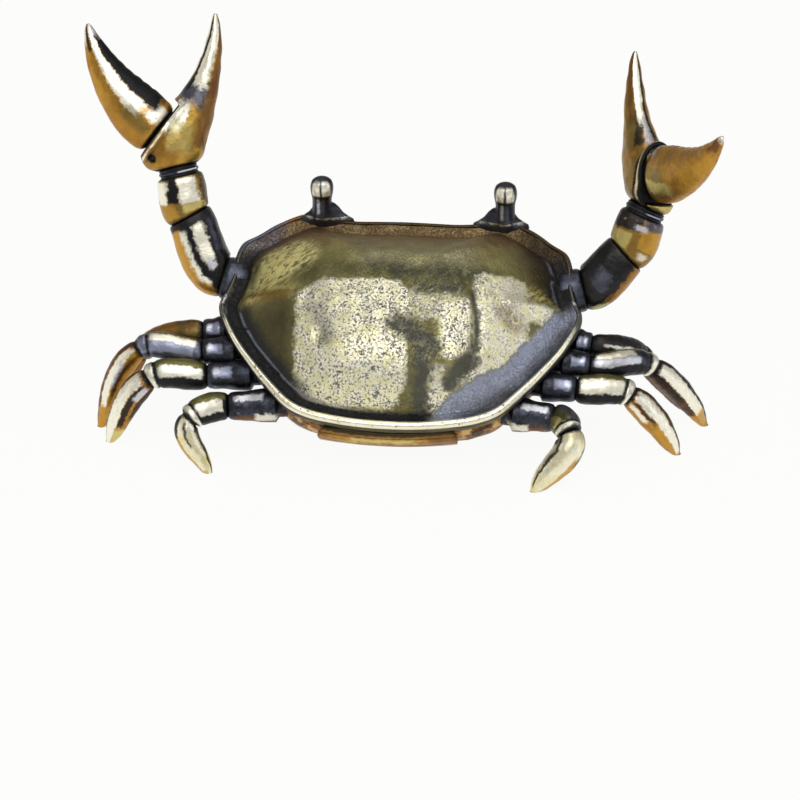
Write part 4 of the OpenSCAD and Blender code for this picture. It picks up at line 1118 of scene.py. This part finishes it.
def make_leg(leg, finishes):
    r = HIP_D[leg.k] / 2
    start = leg.root + leg.hip_dir * 0.4
    run = Run(start, leg.hip, leg.hip_dir, leg.hip_dir)
    long = np.linalg.norm(leg.hip - start)
    bulge = max(0.12, 1 - (leg.out + 0.2) / long)
    cast = limb(run, sized(r, (
        (0, 0.8, 0.8, -0.6), (bulge * 0.85, 0.84, 0.84, -0.6), (bulge, 1.22, 1.22, -0.4),
        (bulge + (1 - bulge) * 0.25, 1.2, 1.2, -0.2), (bulge + (1 - bulge) * 0.55, 1.06, 1.05, -0.2),
        (bulge + (1 - bulge) * 0.8, 1.03, 1.02, 0.2), (bulge + (1 - bulge) * 0.94, 0.95, 0.92, -0.2),
        (1, 0.8, 0.77, -1),
    )), steps=40, n=40)
    limb_piece("hip", "cast", leg.name, cast, finishes, "dark_brass", run, -leg.s)
    r = THIGH_D[leg.k] / 2
    run = Run(leg.hip, leg.knee, leg.hip_dir, leg.knee_dir)
    cast = limb(run, sized(r, (
        (0, 0.73, 0.66, -1), (0.03, 0.82, 0.73, -0.6), (0.08, 0.91, 0.82, 0), (0.2, 0.97, 0.88, 0),
        (0.42, 1, 0.9, 0), (0.68, 0.97, 0.86, 0), (0.78, 0.92, 0.82, 0), (0.83, 0.84, 0.75, -0.8),
        (0.85, 0.83, 0.74, -0.9), (0.88, 0.89, 0.8, 0.1), (0.94, 0.88, 0.79, 0.1), (0.97, 0.8, 0.72, -0.5),
        (1, SEAM_D * 0.52 / r, SEAM_D * 0.48 / r, -1),
    )), e=0.9, steps=72, n=48)
    limb_piece("thigh", "cast", leg.name, cast, finishes, "leg_brass", run, -leg.s)
    r = SHIN_D[leg.s][leg.k] / 2
    run = Run(leg.knee, leg.tip + leg.tip_dir * 0.5, leg.knee_dir, leg.tip_dir)
    cast = limb(run, sized(r, (
        (0, SEAM_D * 0.5 / r, SEAM_D * 0.46 / r, -1), (0.02, 0.74, 0.68, -0.8), (0.06, 0.86, 0.8, -0.2),
        (0.23, 1, 0.92, 0), (0.4, 0.98, 0.86, 0), (0.62, 0.84, 0.73, 0), (0.82, 0.6, 0.52, 0),
        (0.94, TIP_FLAT * 0.58 / r, TIP_FLAT * 0.52 / r, 0),
        (1, TIP_FLAT * 0.4 / r, TIP_FLAT * 0.35 / r, -0.2),
    )), e=1.22, steps=72, n=56)
    cast.points[:, 2] = np.maximum(cast.points[:, 2], 0)
    limb_piece("shin", "cast", leg.name, cast, finishes, "leg_brass", run, -leg.s)


# The finishes of each piece: ground, fleck, then strokes of colour, share along and turn

ALL = (-0.2, 1.2)
# Painted highlights and painted dark and golden reflections on the arms and claws, with some wear
ARM_STROKES = {
    (LEFT, "upper_arm"): (SOOT, SHADOW, (
        (GOLD, (0.0, 0.88), (34, 130), 1.0), (CREAM, (0.12, 0.86), (22, 36), 1.0),
        (SOOT, (0.0, 0.92), (4, 22), 1.0), (CREAM, (0.36, 0.88), (-30, 2), 1.0),
        (SILVER, (0.2, 0.42), (-22, -4), 0.9), (SLATE, (0.45, 0.9), (-56, -44), 0.8),
    )),
    (LEFT, "forearm"): (OCHRE, OLIVE, (
        (CREAM, (0.42, 0.93), (38, 72), 1.0), (SOOT, (0.4, 1.0), (6, 36), 1.0),
        (CREAM, (0.36, 0.95), (-46, 4), 1.0), (STRAW, (0.12, 0.36), (-55, 0), 0.8),
        (UMBER, ALL, (-120, -58), 0.85), (GOLD, (0.1, 0.42), (20, 100), 0.7),
    )),
    (LEFT, "palm"): (GOLD, OLIVE, (
        (OCHRE, (0.02, 0.2), (-10, 100), 0.7), (BROWN, (0.15, 0.62), (-130, -48), 0.75),
        (CREAM, (0.24, 0.43), (-10, 40), 1.0), (STRAW, (0.1, 0.3), (-40, 20), 0.45),
        (SLATE, (0.42, 0.56), (-48, 100), 0.95), (CREAM, (0.54, 1.05), (-42, 24), 1.0),
        (SOOT, (0.5, 0.97), (22, 48), 0.95), (CREAM, (0.62, 1.1), (50, 110), 0.95),
        (BROWN, (0.5, 0.93), (-120, -50), 0.8),
    )),
    (LEFT, "finger"): (GOLD, OCHRE, (
        (OCHRE, (0.05, 0.4), (10, 90), 0.5), (CREAM, (0.2, 1.1), (-34, 12), 1.0),
        (CREAM, (0.03, 0.16), (-60, -12), 0.9), (SOOT, (0.12, 0.9), (-120, -34), 1.0),
        (OLIVE, (0.05, 0.3), (-6, 40), 0.5), (SOOT, (0.8, 0.98), (22, 50), 0.9),
        (CREAM, (0.86, 1.1), (50, 130), 0.9), (SILVER, (0.9, 1.1), (-120, 20), 0.9),
    )),
    (RIGHT, "upper_arm"): (SOOT, SHADOW, (
        (SLATE, (0.25, 0.6), (-22, 16), 0.7), (OCHRE, (0.2, 1.1), (-120, -50), 0.95),
        (STRAW, (0.05, 0.25), (-75, -55), 0.6),
    )),
    (RIGHT, "forearm"): (OCHRE, OLIVE, (
        (STRAW, (0.15, 0.6), (10, 60), 0.6), (GOLD, (0.3, 0.9), (-80, -10), 0.9),
        (SOOT, (0.66, 1.1), (-10, 100), 0.95), (SLATE, (0.74, 1.1), (-110, -14), 0.9),
        (SILVER, (0.68, 0.8), (-26, 8), 0.8), (CREAM, (0.12, 0.24), (-50, -25), 0.6),
    )),
    (RIGHT, "palm"): (OCHRE, OLIVE, (
        (STRAW, (0.0, 0.16), (-60, 30), 0.6), (SOOT, (0.36, 0.62), (-4, 34), 0.9),
        (CREAM, (0.54, 1.1), (-40, 16), 1.0), (SOOT, (0.4, 1.1), (-62, -42), 0.9),
        (SILVER, (0.36, 0.55), (-40, -10), 0.8), (BROWN, (0.55, 1.1), (16, 60), 0.7),
    )),
    (RIGHT, "finger"): (OCHRE, GOLD, (
        (STRAW, (0.04, 0.34), (-62, -24), 0.8), (OLIVE, (0.08, 0.3), (-24, 20), 0.6),
        (SILVER, (0.0, 0.1), (40, 110), 0.8), (BROWN, (0.84, 0.95), (-30, 60), 0.9),
        (CREAM, (0.95, 1.2), (-180, 180), 1.0), (GOLD, (0.45, 0.85), (-60, 10), 0.6),
    )),
}


def arm_finishes(s):
    side = SIDE_NAME[s]
    # Painted sheen: grey highlights on the dark shoulder block; the glint is a painted highlight on the wrist
    tone_and_sheen = (SLATE, (0.3, 0.8), (-40, 30), 0.8)
    tint, turned_by = (SILVER, (-70, -4)) if s == LEFT else (LILAC, (-60, -10))
    glint = (tint, (0.44, 0.58), turned_by, 0.95)
    made = {
        "shoulder": cast_metal("shoulder_patina_" + side, SOOT, SLATE, (tone_and_sheen,)),
        "wrist": cast_metal("wrist_patina_" + side, SOOT, SLATE, (glint,), ragged=0.5),
    }
    for part in ("upper_arm", "forearm", "palm", "finger"):
        made[part] = cast_metal(f"{part}_{side}_metal", *ARM_STROKES[s, part])
    return made


# Painted highlights and painted dark reflections on the thighs: pale streaks on top, dark sides, olive below
THIGH_STROKES = {
    (LEFT, 0): (BROWN, OLIVE, ((OCHRE, (0.3, 0.9), (-70, -10), 0.7),)),
    (LEFT, 1): (SLATE, LILAC, (
        (CREAM, (0.1, 0.8), (-62, -26), 1.0), (LILAC, (0.12, 0.8), (-20, 22), 0.8),
        (SOOT, ALL, (56, 130), 0.9), (OLIVE, (0.05, 0.9), (-130, -64), 0.9),
    )),
    (LEFT, 2): (SOOT, SHADOW, (
        (OLIVE, (0.05, 0.95), (-120, -36), 1.0), (CREAM, (0.06, 0.78), (-34, 12), 1.0),
        (SOOT, ALL, (14, 70), 0.8), (UMBER, ALL, (66, 130), 0.9),
    )),
    (LEFT, 3): (SOOT, SHADOW, (
        (OLIVE, (0.05, 0.95), (-120, -34), 1.0), (CREAM, (0.2, 0.85), (-32, 26), 1.0),
        (SOOT, ALL, (30, 130), 0.9),
    )),
    (RIGHT, 0): (SHADOW, SOOT, ((CREAM, (0.15, 0.8), (-14, 0), 0.9), (OLIVE, (0.4, 0.95), (4, 26), 0.7),)),
    (RIGHT, 1): (SOOT, SLATE, (
        (CREAM, (0.06, 0.6), (-64, -30), 1.0), (SILVER, (0.06, 0.66), (-28, 8), 0.85),
        (OLIVE, (0.05, 0.95), (-130, -66), 0.8), (SOOT, ALL, (14, 130), 0.9),
    )),
    (RIGHT, 2): (SOOT, SHADOW, (
        (OLIVE, (0.05, 0.95), (-120, -46), 1.0), (CREAM, (0.06, 0.8), (-44, 16), 1.0),
        (SOOT, ALL, (20, 64), 0.8), (BROWN, ALL, (62, 130), 0.7),
    )),
    (RIGHT, 3): (OLIVE, SHADOW, (
        (STRAW, (0.35, 0.8), (10, 60), 0.7), (SLATE, ALL, (-110, -30), 0.8),
        (SHADOW, (0.0, 0.35), (-60, 60), 0.8),
    )),
}

COLLARS = ((LEFT, 2), (LEFT, 3), (RIGHT, 1), (RIGHT, 2), (RIGHT, 3))
# Painted highlights and painted dark and golden reflections on the shins
SHIN_STROKES = {
    (LEFT, 0): (OCHRE, BROWN, ((CREAM, (0.1, 0.7), (-40, 0), 0.8),)),
    (LEFT, 1): (OCHRE, GOLD, (
        (BROWN, ALL, (-140, -48), 0.95), (CREAM, (0.05, 0.72), (-46, 2), 1.0),
        (LILAC, (0.2, 0.5), (-6, 16), 0.7), (GOLD, (0.7, 1.1), (-60, 40), 0.9),
        (UMBER, (0.1, 0.6), (14, 34), 0.7),
    )),
    (LEFT, 2): (OCHRE, GOLD, (
        (CREAM, (0.04, 1.1), (-66, 4), 1.0), (SOOT, (0.05, 0.68), (6, 40), 0.95),
        (SILVER, (0.05, 0.3), (22, 52), 0.8), (SOOT, (0.0, 0.55), (54, 130), 0.9),
        (SOOT, ALL, (-140, -70), 0.8), (STRAW, (0.72, 1.1), (6, 90), 0.8),
    )),
    (LEFT, 3): (CREAM, STRAW, (
        (GOLD, (0.3, 1.1), (-130, -52), 0.9), (SOOT, (0.02, 0.34), (-130, -52), 0.95),
        (SOOT, (0.06, 0.5), (-12, 2), 0.9), (SOOT, (0.0, 1.1), (58, 82), 0.9),
        (SOOT, (0.0, 0.3), (48, 130), 0.9), (GOLD, (0.86, 1.1), (-60, 10), 0.7),
    )),
    (RIGHT, 0): (BROWN, SHADOW, ((CREAM, (0.1, 0.6), (-40, 0), 0.6),)),
    (RIGHT, 1): (UMBER, BROWN, (
        (CREAM, (0.04, 0.9), (-58, 14), 1.0), (SOOT, ALL, (-100, -60), 0.9),
        (SOOT, (0.0, 0.5), (20, 60), 0.8), (GOLD, (0.74, 1.1), (-60, 120), 0.9),
        (CREAM, (0.5, 0.75), (-30, 10), 0.6),
    )),
    (RIGHT, 2): (OCHRE, GOLD, (
        (CREAM, (0.04, 0.92), (-58, 4), 1.0), (SOOT, ALL, (-100, -62), 0.9),
        (SOOT, (0.06, 0.45), (6, 22), 0.9), (CREAM, (0.05, 0.35), (28, 56), 0.9),
        (GOLD, (0.5, 1.1), (0, 50), 0.8),
    )),
    (RIGHT, 3): (CREAM, STRAW, (
        (SOOT, (0.0, 0.92), (38, 56), 0.95), (CREAM, (0.1, 0.6), (60, 80), 0.9),
        (SOOT, (0.0, 0.3), (60, 130), 0.8), (GOLD, (0.3, 1.1), (-130, -56), 0.9),
        (SOOT, (0.05, 0.4), (-130, -74), 0.7),
    )),
}


# Light, floor and camera


def soft_light(name, place, aim, width, depth, brightness, tint=(1, 1, 1)):
    """A softbox whose face shines evenly at a given brightness."""
    lamp = bpy.data.lights.new(name, "AREA")
    lamp.shape, lamp.size, lamp.size_y = "RECTANGLE", width, depth
    lamp.energy = brightness * math.pi * width * depth
    lamp.color = tint
    box = bpy.data.objects.new(name, lamp)
    box.location = place
    box.rotation_mode = "QUATERNION"
    box.rotation_quaternion = (Vector(aim) - Vector(place)).to_track_quat("-Z", "Y")
    bpy.context.scene.collection.objects.link(box)


def light_the_table():
    middle = (0, 0, 0.014)
    soft_light("softbox_above_camera", (0.02, -0.30, 0.36), middle, 0.42, 0.26, 2.4)
    soft_light("softbox_overhead", (0.03, 0.03, 0.48), middle, 0.30, 0.22, 1.6)
    soft_light("strip_right", (0.42, -0.10, 0.16), middle, 0.10, 0.34, 2.0, (0.86, 0.9, 1))
    soft_light("strip_left", (-0.44, -0.06, 0.14), middle, 0.07, 0.30, 1.6, (1, 0.97, 0.92))
    world = bpy.data.worlds.new("studio")
    world.use_nodes = True
    world.node_tree.nodes["Background"].inputs[0].default_value = (0.36, 0.35, 0.34, 1)
    world.node_tree.nodes["Background"].inputs[1].default_value = 1.0
    bpy.context.scene.world = world


def lay_floor():
    half, level = 1.6, -0.00003
    corners = [(x * half, y * half, level) for x, y in ((-1, -1), (1, -1), (1, 1), (-1, 1))]
    mesh = bpy.data.meshes.new("floor")
    mesh.from_pydata(corners, [], [(0, 1, 2, 3)])
    floor = as_object("floor", mesh)
    f = Finish("pale_floor")
    path = f.add("ShaderNodeLightPath")
    rays = [Shade(f, path.outputs[f"Is {kind} Ray"]) for kind in ("Camera", "Glossy", "Transmission")]
    seen = rays[0].most(rays[1]).most(rays[2])
    paper = f.add("ShaderNodeBsdfDiffuse", None, {"Color": (0.86, 0.855, 0.84, 1)})
    glow = f.add("ShaderNodeEmission", None, {"Color": (1, 1, 0.99, 1), "Strength": 1.0})
    both = f.add("ShaderNodeMixShader", None, {0: seen * 0.94, 1: paper.outputs[0], 2: glow.outputs[0]})
    f.add("ShaderNodeOutputMaterial", None, {0: both.outputs[0]})
    mesh.materials.append(f.material)


def set_camera():
    """The photograph's view: from behind, a little from the right and from above."""
    camera = bpy.data.cameras.new("camera")
    camera.sensor_width, camera.lens = 36, 163.8
    camera.clip_start, camera.clip_end = 0.01, 10
    turn, rise, away, aim = 4.5, 28, 0.4, Vector((0.0012, -0.0044, 0.005))
    back = Vector((sind(turn) * cosd(rise), -cosd(turn) * cosd(rise), sind(rise)))
    eye = bpy.data.objects.new("camera", camera)
    eye.location = aim + back * away
    eye.rotation_mode = "QUATERNION"
    eye.rotation_quaternion = (-back).to_track_quat("-Z", "Y")
    bpy.context.scene.collection.objects.link(eye)
    bpy.context.scene.camera = eye


bpy.context.scene.view_settings.view_transform = "Standard"
set_camera()
make_shell(shell_finish(), rim_finish())
make_underbody(underbody_finish())
# Painted shadow: dark brown at the tail's upper end, under the rim
make_tail(cast_metal("tail_metal", GOLD, BROWN, (
    (UMBER, (-0.2, 0.05), (-180, 180), 1.0), (STRAW, (0.1, 0.16), (-50, 40), 0.7),
    (BROWN, (0.05, 0.3), (52, 100), 0.6),
)))
# Painted highlights: two bright lobes on the eye's top and a glint on the stalk; painted shade round the
# sides
eye_metal = cast_metal("eye_metal", SLATE, SHADOW, (
    (SILVER, (0.18, 0.56), (8, 26), 0.7), (SOOT, (0.16, 0.6), (-60, -24), 0.7),
    (CREAM, (0.62, 0.95), (-52, -5), 1.0), (CREAM, (0.62, 0.95), (5, 52), 1.0),
    (SHADOW, (0.5, 0.86), (-5, 5), 0.9), (SOOT, (0.54, 0.61), (-60, 60), 0.7),
    (SOOT, (0.3, 1.1), (60, 180), 0.8), (SOOT, (0.3, 1.1), (-180, -60), 0.8),
), ragged=0.4)
for s in (LEFT, RIGHT):
    make_eye(s, eye_metal)
    make_arm(Arm(s), arm_finishes(s))
# Painted highlights: lilac and silver sheen on the dark hips
hip_metal = cast_metal("hip_patina", SOOT, SLATE, (
    (LILAC, (0.62, 0.9), (-34, 8), 0.8), (SILVER, (0.8, 0.9), (-30, -8), 0.6),
))
# Painted highlights and painted reflections on the dark rear hips
rear_hip_metal = cast_metal("rear_hip_patina", SOOT, SLATE, (
    (SILVER, (0.5, 0.9), (-46, -20), 0.9), (BROWN, (0.1, 0.9), (40, 110), 0.9),
    (CREAM, (0.3, 0.62), (30, 62), 0.8),
))
for s in (LEFT, RIGHT):
    for k in range(4):
        leg = Leg(s, k)
        # Painted highlight on the collar bead near the knee, over the side that faces the lamps
        collar = ((CREAM, (0.86, 0.95), (-100, 100), 0.95),) if (s, k) in COLLARS else ()
        ground, fleck, strokes = THIGH_STROKES[s, k]
        make_leg(leg, {
            "hip": rear_hip_metal if k == 3 else hip_metal,
            "thigh": cast_metal("thigh_metal_" + leg.name, ground, fleck, strokes + collar),
            "shin": cast_metal("shin_metal_" + leg.name, *SHIN_STROKES[s, k]),
        })
light_the_table()
lay_floor()
